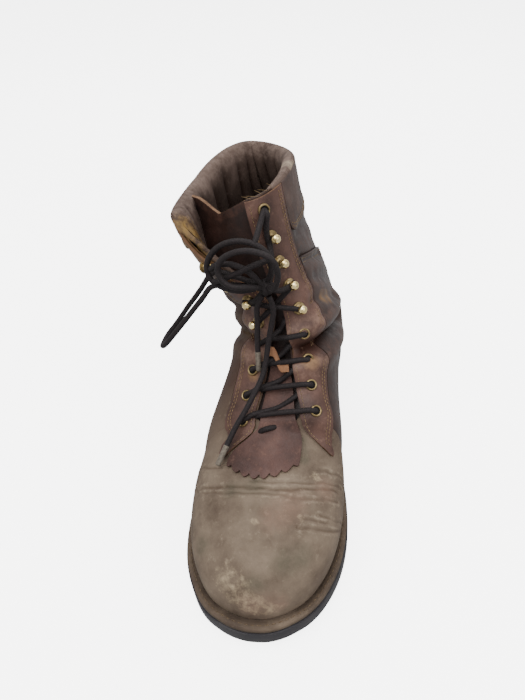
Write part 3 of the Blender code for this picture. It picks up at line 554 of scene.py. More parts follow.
def throat_line(row, share, lift):
    """A point between the throat edges: 0 at the outer one, 1 at the inner one."""
    edges = [on_upper(way, row, 0.0, lift) for way in (OUTER, INNER)]
    return edges[0].lerp(edges[1], share)


def behind_facing(side, row):
    """Distance from the throat edge where the next leather may start."""
    return straight(FACING[side], row).far + 2 * GAP


def crease_lines():
    """Each crease as points in metres, with its width, depth and shade."""
    lines = []
    for crease in CREASES:
        count = 6 * (len(crease.path) - 1)
        stops = [smooth(crease.path, (len(crease.path) - 1) * i / count) for i in range(count + 1)]
        points = [across_throat(row, reach, 0.0) for row, reach in stops]
        lines.append((np.array(points), crease.width * MM, crease.depth * MM, crease.shade))
    return lines


CREASE_LINES = crease_lines()
WOBBLE = 1.0 * MM       # how far a crease wavers off its path
WOBBLE_SIZE = 8 * MM    # and how often
LIP_SHARE = 0.42        # height of the lips beside a trough, against its depth
LIP_AWAY = 2.1          # their place and width, against the trough's width
LIP_WIDTH = 1.1
LIP_RUB = 0.5           # how much they are rubbed, against the trough's shade


def distance_to_line(points, line):
    """Distance of each point to a chain of straight runs."""
    nearest = np.full(len(points), np.inf)
    for low, high in zip(line, line[1:]):
        run = high - low
        share = np.clip((points - low) @ run / (run @ run), 0.0, 1.0)
        gaps = points - low - share[:, None] * run
        nearest = np.minimum(nearest, np.sqrt((gaps ** 2).sum(axis=1)))
    return nearest


def wear_in(points):
    """Offset of creased leather along its normal, and how deep in a fold it is: painted shade in
    the troughs, less where the lips are rubbed.
    """
    offset = np.zeros(len(points))
    fold = np.zeros(len(points))
    drift = [noise.noise_vector(Vector(point) / WOBBLE_SIZE) for point in points]
    places = points + WOBBLE * np.array(drift)
    for line, width, depth, shade in CREASE_LINES:
        away = distance_to_line(places, line) / width
        trough = np.exp(-away ** 2)
        lips = np.exp(-((away - LIP_AWAY) / LIP_WIDTH) ** 2)
        offset += depth * (LIP_SHARE * lips - trough)
        # painted shade in each trough, and rubbed wear on the lips beside it
        fold += shade * (trough - LIP_RUB * lips)
    return offset, fold


def tint_at(patches, points):
    """How far each point lies in a set of patches, from 0 to 1."""
    bare = np.ones(len(points))
    for patch in patches:
        middle = np.array(across_throat(patch.row, patch.reach, 0.0))
        away = ((points - middle) ** 2).sum(axis=1) / (patch.size * MM) ** 2
        bare *= 1 - np.exp(-away)
    return 1 - bare


SLACK = 1.0 * MM         # how far slack leather waves
SLACK_SIZE = 34 * MM     # from wave to wave
SLACK_FROM = 70          # height where the leather gets slack
SLACK_OVER = 60          # and the height in which it does
FIRM_SLACK = 0.1         # share of the waves on the firm toe


def slack_at(point):
    """Low waves of the shaft's slack leather; the toe is firm."""
    share = min(max((point.z / MM - SLACK_FROM) / SLACK_OVER, FIRM_SLACK), 1.0)
    return SLACK * share * noise.noise(point / SLACK_SIZE)


def wall_normal(side, row, share):
    """Outward direction, the same from both sides on the ridge and the back seam."""
    normal = upper_normal(side, row, share)
    on_ridge = share <= 0 and throat_gap(side, row) == 0
    on_back = share >= 1 and row > LAST_STANDING
    if on_ridge or on_back:
        normal = (normal + upper_normal(-side, row, share)).normalized()
    return normal


def lay_leather(columns, rows, where, lift=0.0, flip=False, skive=None):
    """A sheet on the upper's face; where gives side, row and round share.

    Where skive is given, it takes thickness off the sheet at its edges.
    """
    sheet = bmesh.new()
    bmesh.ops.create_grid(sheet, x_segments=columns, y_segments=rows, size=0.5)
    names = ("fold", "row", "above", "side", *PATCHES)
    layers = {name: sheet.verts.layers.float.new(name) for name in names}
    bases = []
    normals = []
    sunk = []
    for vertex in sheet.verts:
        side, row, share = where(vertex.co.x + 0.5, vertex.co.y + 0.5)
        bases.append(upper_point(side, row, share))
        normals.append(wall_normal(side, row, share))
        sunk.append(skive(vertex.co.x + 0.5, vertex.co.y + 0.5) if skive else 0.0)
        vertex[layers["row"]] = row
        vertex[layers["above"]] = walk_lengths(side, row)[-1] * (1 - share)
        vertex[layers["side"]] = side
    places = np.array(bases)
    offsets, folds = wear_in(places)
    tints = {name: tint_at(patches, places) for name, patches in PATCHES.items()}
    for i, vertex in enumerate(sheet.verts):
        rise = (lift - sunk[i]) * MM + offsets[i] + slack_at(bases[i])
        vertex.co = bases[i] + normals[i] * rise
        vertex[layers["fold"]] = folds[i]
        for name, tint in tints.items():
            vertex[layers[name]] = tint[i]
    if flip:
        bmesh.ops.reverse_faces(sheet, faces=sheet.faces)
    return sheet


def wall_places(stops):
    """Points over the creased wall with its outward direction: side, row, share, lift."""
    bases = [upper_point(side, row, share) for side, row, share, _ in stops]
    offsets = wear_in(np.array(bases))[0]
    places = []
    for (side, row, share, lift), base, offset in zip(stops, bases, offsets):
        normal = upper_normal(side, row, share)
        places.append((base + normal * (lift * MM + offset + slack_at(base)), normal))
    return places


def face_point(side, row, distance, lift):
    """A point over the creased wall, at a distance from the throat edge."""
    return wall_places([(side, row, share_at(side, row, distance), lift)])[0][0]


def grid(columns, rows, place, flip=False, worn=None):
    """A grid whose corners run 0 to 1 both ways, laid out by a function."""
    sheet = bmesh.new()
    bmesh.ops.create_grid(sheet, x_segments=columns, y_segments=rows, size=0.5)
    fold = sheet.verts.layers.float.new("fold") if worn else None
    for vertex in sheet.verts:
        a, b = vertex.co.x + 0.5, vertex.co.y + 0.5
        vertex.co = place(a, b)
        if worn:
            vertex[fold] = worn(a, b)
    if flip:
        bmesh.ops.reverse_faces(sheet, faces=sheet.faces)
    return sheet


def add_to(whole, part):
    """Put one bmesh into another."""
    mesh = bpy.data.meshes.new("part")
    part.to_mesh(mesh)
    part.free()
    whole.from_mesh(mesh)
    bpy.data.meshes.remove(mesh)


def piece(name, body, finishes, replaces=()):
    """A finished piece of the boot from a bmesh."""
    mesh = bpy.data.meshes.new(name)
    bmesh.ops.remove_doubles(body, verts=body.verts, dist=1e-6)
    body.to_mesh(mesh)
    body.free()
    mesh.shade_smooth()
    made = bpy.data.objects.new(name, mesh)
    bpy.context.scene.collection.objects.link(made)
    for finish in finishes:
        mesh.materials.append(finish)
    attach(made, "root")
    if replaces:
        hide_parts(*replaces)
    return made


def thicken(made, thickness, offset, edge=0.4, inside=0, rim=0):
    """Give a sheet its thickness and rounded cut edges."""
    wall = made.modifiers.new("thickness", "SOLIDIFY")
    wall.thickness = thickness * MM
    wall.offset = offset
    wall.material_offset = inside
    wall.material_offset_rim = rim
    round_edges(made, edge)


def round_edges(made, width, segments=2, degrees=55):
    edge = made.modifiers.new("rounded edges", "BEVEL")
    edge.width = width * MM
    edge.segments = segments
    edge.limit_method = "ANGLE"
    edge.angle_limit = math.radians(degrees)


def hex_colour(text):
    """Linear colour from an sRGB hex value."""
    values = [int(text[i:i + 2], 16) / 255 for i in (1, 3, 5)]
    linear = [v / 12.92 if v <= 0.04045 else ((v + 0.055) / 1.055) ** 2.4 for v in values]
    return (*linear, 1.0)


def add(tree, kind, links=None, **settings):
    """Add a shader node with its settings; links holds values or sockets."""
    made = tree.nodes.new(kind)
    for name, value in settings.items():
        setattr(made, name, value)
    for name, value in (links or {}).items():
        if isinstance(value, bpy.types.NodeSocket):
            tree.links.new(value, made.inputs[name])
        else:
            made.inputs[name].default_value = value
    return made


def new_finish(name, **settings):
    """An empty Principled finish: its material, node tree and shader."""
    made = bpy.data.materials.new(name)
    made.use_nodes = True
    shader = made.node_tree.nodes["Principled BSDF"]
    for socket, value in settings.items():
        shader.inputs[socket.replace("_", " ")].default_value = value
    return made, made.node_tree, shader


def ranged(tree, value, low, high, first=0.0, last=1.0):
    """A value spread from one range onto another."""
    return add(tree, "ShaderNodeMapRange", {
        "Value": value, "From Min": low, "From Max": high, "To Min": first,
        "To Max": last}).outputs["Result"]


def blend(tree, share, low, high):
    """A colour between two."""
    return add(tree, "ShaderNodeMix", {
        "Factor": share, "A": low, "B": high}, data_type="RGBA").outputs["Result"]


def calc(tree, operation, *values):
    """Values put together by one step of arithmetic."""
    return add(
        tree, "ShaderNodeMath", dict(enumerate(values)), operation=operation).outputs["Value"]


def carried(tree, name):
    """A value that the mesh carries at its corners."""
    return add(tree, "ShaderNodeAttribute", attribute_name=name).outputs["Fac"]


def per_mm(size):
    """Texture scale in metres for a feature of this size in millimetres."""
    return 1.0 / (size * MM)


# A stain: its patch of leather, tint, and the specks where it starts and is full
Stain = namedtuple("Stain", "patch tint low high strength")
RISING_FROM = 9.0        # rows between which the vamp leather darkens
RISING_TO = 12.5
RISING_RUB = 0.25        # how much of the rubbed specks is left there
RISING_CLOUD = 3.0       # rows that its cloudy tones shift that change
BLOTCH = 26.0            # cloudy tones
SPECK = 5.0              # rubbed specks
WRINKLE = (16.0, 2.4, 2.4)      # long across the boot, narrow along it
WRINKLE_DEPTH = 1.1
HAIR_SIZE = 2.6          # fine noise between the pores, against their size
DARK_TONE = 0.3          # where the three tones lie in the clouds
MIDDLE_TONE = 0.52
LIGHT_TONE = 0.72


def leather(
        name, tones, rubbed, roughness, gloss, grain=1.2, relief=0.10, rub=0.5, stains=(),
        rising=None):
    """Worn oiled leather: cloudy tones, painted shade in its folds, rubbed ridges, stains and
    pores.

    Rising is a darker tone that the leather takes on from the foot to the ankle.
    """
    made, tree, shader = new_finish(name, Roughness=roughness, Specular_IOR_Level=gloss)
    place = add(tree, "ShaderNodeTexCoord").outputs["Object"]
    blotch = add(tree, "ShaderNodeTexNoise", {
        "Vector": place, "Scale": per_mm(BLOTCH), "Detail": 8.0,
        "Roughness": 0.62}).outputs["Fac"]
    tone = add(tree, "ShaderNodeValToRGB", {"Fac": blotch})
    ramp = tone.color_ramp.elements
    dark, middle, light = [hex_colour(text) for text in tones]
    ramp[0].position = DARK_TONE
    ramp[0].color = dark
    ramp[1].position = LIGHT_TONE
    ramp[1].color = light
    ramp.new(MIDDLE_TONE).color = middle
    ground = tone.outputs["Color"]
    rubs = rub
    if rising:
        cloud = calc(tree, "MULTIPLY_ADD", blotch, RISING_CLOUD, carried(tree, "row"))
        share = ranged(tree, cloud, RISING_FROM, RISING_TO)
        rubs = ranged(tree, share, 0.0, 1.0, rub, RISING_RUB * rub)
        ground = blend(tree, share, ground, hex_colour(rising))
    fold = carried(tree, "fold")
    # painted shade: the fold attribute darkens the colour towards the darkest tone in creases and
    # pleats
    folded = blend(tree, ranged(tree, fold, 0.05, 0.8, last=0.92), ground, dark)
    specks = add(tree, "ShaderNodeTexNoise", {
        "Vector": place, "Scale": per_mm(SPECK), "Detail": 10.0,
        "Roughness": 0.75}).outputs["Fac"]
    chance = calc(tree, "ADD", specks, ranged(tree, fold, 0.0, -0.5, last=0.16))
    worn = ranged(tree, chance, 0.55, 0.78, last=rubs)
    colour = blend(tree, worn, folded, hex_colour(rubbed))
    for stain in stains:
        patchy = calc(tree, "MULTIPLY", specks, carried(tree, stain.patch))
        share = ranged(tree, patchy, stain.low, stain.high, last=stain.strength)
        colour = blend(tree, share, colour, hex_colour(stain.tint))
    stretch = add(tree, "ShaderNodeMapping", {
        "Vector": place, "Scale": [per_mm(size) for size in WRINKLE]})
    wrinkles = add(tree, "ShaderNodeTexNoise", {
        "Vector": stretch.outputs["Vector"], "Scale": 1.0, "Detail": 3.0})
    waves = calc(tree, "MULTIPLY", wrinkles.outputs["Fac"], carried(tree, "flex"))
    bends = add(tree, "ShaderNodeBump", {
        "Height": waves, "Strength": 0.6, "Distance": WRINKLE_DEPTH * MM})
    pores = add(tree, "ShaderNodeTexVoronoi", {
        "Vector": place, "Scale": per_mm(grain), "Randomness": 1.0})
    hair = add(tree, "ShaderNodeTexNoise", {
        "Vector": place, "Scale": per_mm(grain * HAIR_SIZE), "Detail": 6.0})
    height = calc(tree, "ADD", pores.outputs["Distance"], hair.outputs["Fac"])
    skin = add(tree, "ShaderNodeBump", {
        "Height": height, "Strength": 0.55, "Distance": relief * MM,
        "Normal": bends.outputs["Normal"]})
    shine = ranged(tree, specks, 0.35, 0.7, roughness - 0.08, roughness + 0.14)
    # the folds also lose their specular sheen, which deepens the painted shade
    sheen = ranged(tree, fold, 0.3, 0.9, gloss, 0.0)
    tree.links.new(sheen, shader.inputs["Specular IOR Level"])
    tree.links.new(colour, shader.inputs["Base Color"])
    tree.links.new(shine, shader.inputs["Roughness"])
    tree.links.new(skin.outputs["Normal"], shader.inputs["Normal"])
    return made


VAMP_STAINS = (
    Stain("rosy", "#7a6052", 0.15, 0.6, 0.5),
    # greenish grime, and painted shade beside the kiltie's inner edge
    Stain("grime", "#3a3a2e", 0.15, 0.6, 0.6),
    Stain("scuff", "#ac9a7d", 0.4, 0.72, 0.6),
)
BARE_STAIN = (Stain("bare", "#86653c", 0.2, 0.6, 0.6),)
# Oiled vamp leather, dry and dusty with age: matt taupe with pale scuffs
VAMP = leather(
    "dusty oiled leather", ("#483c32", "#64574a", "#756758"), "#9a8c79", 0.78, 0.2,
    rub=0.45, stains=VAMP_STAINS, rising="#3c2c24")
# Shaft leather keeps more of its oil: dark chocolate with a low sheen
SHAFT = leather(
    "chocolate leather", ("#1c110e", "#2f1f1a", "#42302a"), "#5c463d", 0.5, 0.28,
    stains=BARE_STAIN)
# Facings: red-brown leather, rubbed by the lace
FACING_LEATHER = leather(
    "red-brown leather", ("#2c1b16", "#4b342c", "#62483e"), "#846a5b", 0.55, 0.28,
    stains=BARE_STAIN)
# Cuff: the same hide as the shaft, greyed by handling
CUFF_LEATHER = leather(
    "greyed leather", ("#261a16", "#3c2c26", "#503e37"), "#705e52", 0.55, 0.28)
# Lining: soft napped split leather, grey-brown, worn to tan at the front edge
LINING = leather(
    "lining leather", ("#352924", "#4f413a", "#66564f"), "#7c6c63", 0.85, 0.15, 0.8, 0.05,
    stains=(Stain("bare", "#97783f", 0.3, 0.6, 0.9), Stain("cream", "#b3a68c", 0.1, 0.5, 0.8)))
# False tongue: the facings' hide, darker with grease
KILTIE_LEATHER = leather(
    "dark red-brown leather", ("#281814", "#432c26", "#573d35"), "#7a5d50", 0.58, 0.25)
# Flesh side of the false tongue where it curls: tan suede
SUEDE = leather("tan suede", ("#553c2a", "#795740", "#936f56"), "#a08067", 0.9, 0.1, 0.6, 0.05)
# Tongue: the facings' hide, black with grease, and darker still as painted shade of its place
# inside the throat
GREASY_SHADED_TONGUE = leather(
    "greasy leather with painted shade", ("#120b0a", "#21130f", "#331f19"), "#4a3026", 0.5, 0.3)
# Cut edges of wall, facings, cuff and tongue: raw leather, paler than its face
CUT_EDGE = leather("raw leather edge", ("#3d2a1f", "#5c4331", "#775a44"), "#8a6d54", 0.8, 0.15)
# Welt: leather strip, trimmed and dusty
WELT = leather("welt leather", ("#372d26", "#4f4338", "#615447"), "#786b5a", 0.75, 0.2, 1.0, 0.08)
# Insole: bare leather board, polished by the foot
INSOLE = leather(
    "insole leather", ("#2d221a", "#473628", "#5c4937"), "#6d5a47", 0.6, 0.3, 1.0, 0.04)


def rubber():
    """Moulded black rubber: matt, with dust in a fine tooth."""
    made, tree, shader = new_finish("moulded rubber", Roughness=0.62, Specular_IOR_Level=0.35)
    place = add(tree, "ShaderNodeTexCoord").outputs["Object"]
    dust = add(tree, "ShaderNodeTexNoise", {
        "Vector": place, "Scale": per_mm(12), "Detail": 9.0, "Roughness": 0.7})
    share = ranged(tree, dust.outputs["Fac"], 0.45, 0.75, last=0.5)
    colour = blend(tree, share, hex_colour("#232125"), hex_colour("#3f3b3b"))
    tooth = add(tree, "ShaderNodeTexNoise", {
        "Vector": place, "Scale": per_mm(0.8), "Detail": 4.0})
    relief = add(tree, "ShaderNodeBump", {
        "Height": tooth.outputs["Fac"], "Strength": 0.4, "Distance": 0.06 * MM})
    tree.links.new(colour, shader.inputs["Base Color"])
    tree.links.new(relief.outputs["Normal"], shader.inputs["Normal"])
    return made


RUBBER = rubber()


def brass(name, clean, tarnished, smoothest, roughest):
    """Plated brass, tarnished where lace and fingers don't polish it."""
    made, tree, shader = new_finish(name, Metallic=1.0, Roughness=0.3)
    place = add(tree, "ShaderNodeTexCoord").outputs["Object"]
    tarnish = add(tree, "ShaderNodeTexNoise", {
        "Vector": place, "Scale": per_mm(3), "Detail": 6.0, "Roughness": 0.7})
    share = ranged(tree, tarnish.outputs["Fac"], 0.42, 0.68)
    colour = blend(tree, share, hex_colour(clean), hex_colour(tarnished))
    shine = ranged(tree, tarnish.outputs["Fac"], 0.4, 0.7, smoothest, roughest)
    tree.links.new(colour, shader.inputs["Base Color"])
    tree.links.new(shine, shader.inputs["Roughness"])
    return made


# Eyelets and the feet of the hooks: antique brass, browned
ANTIQUE_BRASS = brass("antique brass", "#8f7c58", "#3c3122", 0.3, 0.55)
# Balls of the hooks: polished bright by the lace
BRIGHT_BRASS = brass("polished brass", "#f2dfa6", "#b79a5c", 0.12, 0.3)


def braided_cord(name, dark, light, strand):
    """Braided cord: small crossing strands, drawn a little coarse so that they show."""
    made, tree, shader = new_finish(name, Roughness=0.75, Specular_IOR_Level=0.25)
    place = add(tree, "ShaderNodeTexCoord").outputs["Object"]
    strands = add(tree, "ShaderNodeTexVoronoi", {"Vector": place, "Scale": per_mm(strand)})
    colour = blend(tree, strands.outputs["Distance"], hex_colour(dark), hex_colour(light))
    relief = add(tree, "ShaderNodeBump", {
        "Height": strands.outputs["Distance"], "Strength": 0.6, "Distance": 0.2 * MM},
        invert=True)
    tree.links.new(colour, shader.inputs["Base Color"])
    tree.links.new(relief.outputs["Normal"], shader.inputs["Normal"])
    return made


# Lace: waxed braid, dark brown to black
LACE = braided_cord("waxed lace", "#0f0c0d", "#221b1c", 0.9)
# Pull loop: black cotton webbing
WEBBING = braided_cord("cotton webbing", "#0d0d0e", "#1f1e1f", 1.1)
# Thread: tan waxed thread, and the darker one of the welt
THREAD = braided_cord("tan thread", "#554230", "#85704f", 0.5)
WELT_THREAD = braided_cord("welt thread", "#3a2e24", "#665541", 0.5)
# Painted shade: a black disc that stands for the dark hole inside an eyelet
HOLE_SHADE = new_finish("painted hole shade", Base_Color=hex_colour("#060505"), Roughness=1.0)[0]
# Aglet: clouded plastic sleeve
AGLET = braided_cord("aglet sleeve", "#4d463e", "#6e665b", 1.5)


LADDER_STEP = 0.05
LADDER_ROWS = 100


@functools.lru_cache(maxsize=None)
def collar_ladder(side, share):
    """Rows from the collar down, and their depth along the wall."""
    rows = [COLLAR_ROW - LADDER_STEP * i for i in range(LADDER_ROWS)]
    return walk([upper_point(side, row, share) for row in rows]), rows


def row_below_collar(side, share, distance):
    """The row that lies a distance below the collar, along the wall."""
    return float(np.interp(distance, *collar_ladder(side, share)))


COLLAR_CORNER = 17.0     # radius of the outer collar's front corner
CORNER_FROM = 20.0       # row under which that corner has no part


def corner_drop(side, share):
    """How far the collar's edge lies lower at its rounded outer front corner."""
    if side == INNER:
        return 0.0
    near = max(1 - walk_lengths(side, COLLAR_ROW)[-1] * share / COLLAR_CORNER, 0.0)
    return COLLAR_CORNER * (1 - math.sqrt(1 - near ** 2))


def trim(side, row, share):
    """A place on the wall, with rows lowered under the rounded corner."""
    if side == INNER or row <= CORNER_FROM:
        return side, row, share
    top = row_below_collar(side, share, corner_drop(side, share))
    return side, mix(CORNER_FROM, top, (row - CORNER_FROM) / (COLLAR_ROW - CORNER_FROM)), share


# Rows of the wall's mesh: closer where the vamp creases
UPPER_STEPS = ((0.12, 4.6, 0.1), (4.6, 7.2, 0.03), (7.2, float(COLLAR_ROW), 0.13))
UPPER_COLUMNS = 72
DARK_FROM = {INNER: 9.2, OUTER: 13.6}    # row where the dark shaft leather starts
DARK_ABOVE = 40.0                        # and how far over the sole
SHAFT_FROM = 18.5                        # row from which all of it is shaft leather


def upper_rows():
    rows = []
    for first, last, step in UPPER_STEPS:
        count = round((last - first) / step)
        rows += [mix(first, last, i / count) for i in range(count)]
    return rows + [UPPER_STEPS[-1][1]]


TOE_THIN = 1.6           # row up to which the wall thins towards the tip of the toe
TOE_SHARE = 0.08         # and its thickness there, against the full one


def thin_toe(upper):
    """Thin the wall at the tip of the toe, where its inner side would cross itself."""
    group = upper.vertex_groups.new(name="thickness")
    rows = upper.data.attributes["row"].data
    for vertex in upper.data.vertices:
        group.add((vertex.index,), min(rows[vertex.index].value / TOE_THIN, 1.0), "REPLACE")
    wall = upper.modifiers["thickness"]
    wall.vertex_group = group.name
    wall.thickness_vertex_group = TOE_SHARE


def make_upper():
    """The wall from toe to collar: vamp leather, shaft leather, lining inside."""
    whole = bmesh.new()
    rows = upper_rows()
    count = len(rows) - 1
    for side in (INNER, OUTER):
        half = lay_leather(
            count,
            UPPER_COLUMNS,
            lambda a, b: trim(side, rows[round(a * count)], b),
            flip=side == INNER,
        )
        add_to(whole, half)
    bmesh.ops.remove_doubles(whole, verts=whole.verts, dist=2e-5)
    layers = [whole.verts.layers.float[name] for name in ("row", "above", "side")]
    for face in whole.faces:
        row, above, side = [
            sum(vertex[layer] for vertex in face.verts) / len(face.verts) for layer in layers]
        dark = row > DARK_FROM[INNER if side > 0 else OUTER] and above > DARK_ABOVE
        face.material_index = int(row > SHAFT_FROM or dark)
    finishes = (VAMP, SHAFT, LINING, LINING, CUT_EDGE, CUT_EDGE)
    upper = piece("upper_wall", whole, finishes, ("upper",))
    thicken(upper, WALL, -1.0, edge=0.8, inside=2, rim=4)
    thin_toe(upper)


def panel_where(side, first, last, borders):
    """Places of a panel between two rows and two borders from the throat edge."""
    def where(a, b):
        row = mix(first, last, a)
        near, far = borders(row)
        return trim(side, row, mix(share_at(side, row, near), share_at(side, row, far), b))
    return where


def facing_borders(side):
    def borders(row):
        form = straight(FACING[side], row)
        return form.near, form.far
    return borders


def quarter_borders(side):
    def borders(row):
        near = behind_facing(side, row)
        return near, walk_lengths(side, row)[-1] - straight(QUARTER, row).above
    return borders


SIDES = ((INNER, "inner"), (OUTER, "outer"))
QUARTER_SKIVE = 0.12     # share of the quarter that thins towards its front edge
# painted shade: the inner quarter takes the dark shaft leather and the outer one the taupe vamp
# leather, for the same leather on both sides
QUARTER_LEATHER_AND_SHADE = {INNER: SHAFT, OUTER: VAMP}


def make_panels():
    for side, name in SIDES:
        rows = FACING[side][0].row, FACING[side][-1].row
        sheet = lay_leather(
            220, 16, panel_where(side, *rows, facing_borders(side)), OVERLAY_LIFT, side == INNER)
        facing = piece(
            f"facing_leather_{name}", sheet, (FACING_LEATHER, CUT_EDGE),
            (f"facing_{name}",))
        thicken(facing, OVERLAY, 1.0, edge=0.3, rim=1)
        rows = QUARTER[0].row, QUARTER[-1].row
        sheet = lay_leather(
            120, 50, panel_where(side, *rows, quarter_borders(side)), OVERLAY_LIFT, side == INNER,
            skive=lambda a, b: FACE * max(1 - a / QUARTER_SKIVE, 0.0) ** 2)
        quarter = piece(
            f"quarter_leather_{name}", sheet, (QUARTER_LEATHER_AND_SHADE[side],),
            (f"quarter_{name}",))
        thicken(quarter, OVERLAY, 1.0)


CUFF_TOP = COLLAR_ROW - 0.05
CUFF_CORNER = 12.0       # radius of the cuff's lower front corners


def cuff_where(a, b):
    """Places of the cuff: facing, back seam, facing, with rounded lower corners."""
    side = INNER if b < 0.5 else OUTER
    turn = abs(1 - 2 * b)
    edge = share_at(side, CUFF_TOP, behind_facing(side, CUFF_TOP))
    share = mix(1.0, edge, turn)
    lengths = walk_lengths(side, CUFF_TOP)
    from_front = (lengths[-1] - behind_facing(side, CUFF_TOP)) * (1 - turn)
    corner = max(1 - from_front / CUFF_CORNER, 0.0)
    height = CUFF_HEIGHT - CUFF_CORNER * (1 - math.sqrt(1 - corner ** 2))
    row = mix(row_below_collar(side, share, height), CUFF_TOP, a)
    near = share_at(side, row, behind_facing(side, row))
    return side, row, mix(1.0, near, turn)


def make_cuff():
    sheet = lay_leather(24, 200, cuff_where, OVERLAY_LIFT, flip=True)
    cuff = piece("cuff_leather", sheet, (CUFF_LEATHER, CUT_EDGE), ("cuff",))
    thicken(cuff, OVERLAY, 1.0)


# Padded collar: the lining's section round the top edge, as a closed loop.
# Lift is off the wall's outer face, below counts down from the collar.
Pad = namedtuple("Pad", "lift below")
COLLAR_PAD = (
    Pad(2.3, 2.2),
    Pad(2.4, 0.6),
    Pad(1.4, -1.2),
    Pad(-1.0, -2.2),
    Pad(-3.8, -1.4),
    Pad(-6.0, 1.6),
    Pad(-7.4, 6.5),
    Pad(-7.6, 13.0),
    Pad(-6.6, 23.0),
    Pad(-5.0, 36.0),
    Pad(-3.1, 50.0),
    Pad(-2.5, 50.0),
    Pad(-2.5, 34.0),
    Pad(-2.5, 16.0),
    Pad(-2.5, 0.5),
    Pad(-2.0, -0.2),
    Pad(1.6, -0.2),
)
PAD_STEPS = 3            # facets between two corners of that section
PAD_ROUND = 220
PAD_END = 0.4            # the pad's ends, from the throat edges
PAD_THIN = {INNER: 34.0, OUTER: 0.0}     # length at its ends where it stays thin
PAD_EASE = {INNER: 60.0, OUTER: 4.0}     # and in which it swells
PAD_LEAST = {INNER: 0.0, OUTER: 0.45}    # from this share of its full thickness
# Pleats where the lining is drawn in, with painted shade in them: place round the collar, from
# inner to outer front
PLEATS = (0.22, 0.31, 0.39, 0.45, 0.5, 0.555, 0.6, 0.66, 0.705, 0.76, 0.81, 0.87, 0.92)
PLEAT_WIDTH = 0.0075
PLEAT_DEPTH = 1.9
PLEAT_FROM = 14          # depth below the collar where a pleat is full
RIM_WEAR = 7             # depth below the collar that hands have rubbed
PAD_SUNK = -1.6          # its outer lip where it is thin, inside the wall
PAD_CLOSES = 0.9999      # the last ring at each end closes on a line
PAD_END_LIFT = {INNER: -2.0, OUTER: -3.4}
PAD_TOP = 3              # corners of the section at its top
PAD_LOW = 10             # and at its lower end


def pleat_at(b):
    return sum(math.exp(-((b - place) / PLEAT_WIDTH) ** 2) for place in PLEATS)


def make_collar():
    """Padded lining rolled over the collar, drawn into pleats inside."""
    closed = [COLLAR_PAD[-1], *COLLAR_PAD, *COLLAR_PAD[:2]]
    columns = PAD_STEPS * len(COLLAR_PAD)
    section = [Pad(*smooth(closed, 1 + i / PAD_STEPS)) for i in range(columns)]

    def pad_at(a, b):
        """Swelling of the pad, and its section's corner."""
        side = INNER if b < 0.5 else OUTER
        turn = abs(1 - 2 * b)
        length = walk_lengths(side, COLLAR_ROW)[-1] - PAD_END
        swell = (length * (1 - turn) - PAD_THIN[side]) / PAD_EASE[side]
        full = min(max(swell, 0.0), 1.0)
        full = mix(PAD_LEAST[side], 1.0, math.sqrt(full * (2 - full)))
        return side, turn, full, section[round(a * columns) % columns]

    def place(a, b):
        side, turn, full, corner = pad_at(a, b)
        edge = share_at(side, COLLAR_ROW, PAD_END)
        share = round(mix(1.0, edge, turn), 4)
        lift, below = corner
        if turn > PAD_CLOSES:
            around = (round(a * columns) - PAD_TOP * PAD_STEPS) % columns
            below = 2 * COLLAR_PAD[PAD_LOW].below * min(around, columns - around) / columns
        row = row_below_collar(side, share, max(below, 0.0) + corner_drop(side, share))
        share = mix(1.0, share_at(side, round(row, 1), PAD_END), turn)
        if turn > PAD_CLOSES:
            lift = PAD_END_LIFT[side]
        elif lift > -WALL:
            lift = mix(PAD_SUNK, lift, full)
        else:
            deep = min(max(below / PLEAT_FROM, 0.0), 1.0)
            puff = (-WALL - lift) * full - PLEAT_DEPTH * deep * pleat_at(b) * full
            lift = -WALL - 0.1 - max(puff, 0.0)
        point, normal = upper_point(side, row, share), wall_normal(side, row, share)
        if below < 0:
            up = point - upper_point(side, row - 0.3, share)
            point = point - up.normalized() * below * mix(0.1, 1.0, full) * MM
        return point + normal * lift * MM

    # painted shade in the pleats and deeper inside the collar, through the fold attribute; the rim
    # is marked as rubbed
    def worn(a, b):
        corner = pad_at(a, b)[3]
        rim = math.exp(-(max(corner.below, 0.0) / RIM_WEAR) ** 2) if corner.lift < 0 else 0.3
        deep = min(max(corner.below / PLEAT_FROM, 0.0), 1.0)
        return 0.65 * deep * pleat_at(b) + 0.1 * deep - 0.75 * rim

    ring = grid(columns, PAD_ROUND, place, worn=worn)
    bmesh.ops.remove_doubles(ring, verts=ring.verts, dist=1e-6)
    bmesh.ops.recalc_face_normals(ring, faces=ring.faces)
    places = np.array([vertex.co for vertex in ring.verts])
    for name in ("cream", "bare"):
        layer = ring.verts.layers.float.new(name)
        for vertex, share in zip(ring.verts, tint_at(PATCHES[name], places)):
            vertex[layer] = share
    collar = piece("collar_lining", ring, (LINING,))


# The tongue's top edge: share from its inner edge, and row
TopEdge = namedtuple("TopEdge", "share row")
TONGUE_TOP = (
    TopEdge(0.0, 22.6),
    TopEdge(0.35, 22.9),
    TopEdge(0.5, 22.6),
    TopEdge(0.62, 22.35),
    TopEdge(0.7, 22.2),
    TopEdge(0.76, 22.4),
    TopEdge(0.88, 22.85),
    TopEdge(1.0, 23.0),
)
TONGUE_GIVES = 1.4       # how far it is pressed in under a crease, against the wall's own


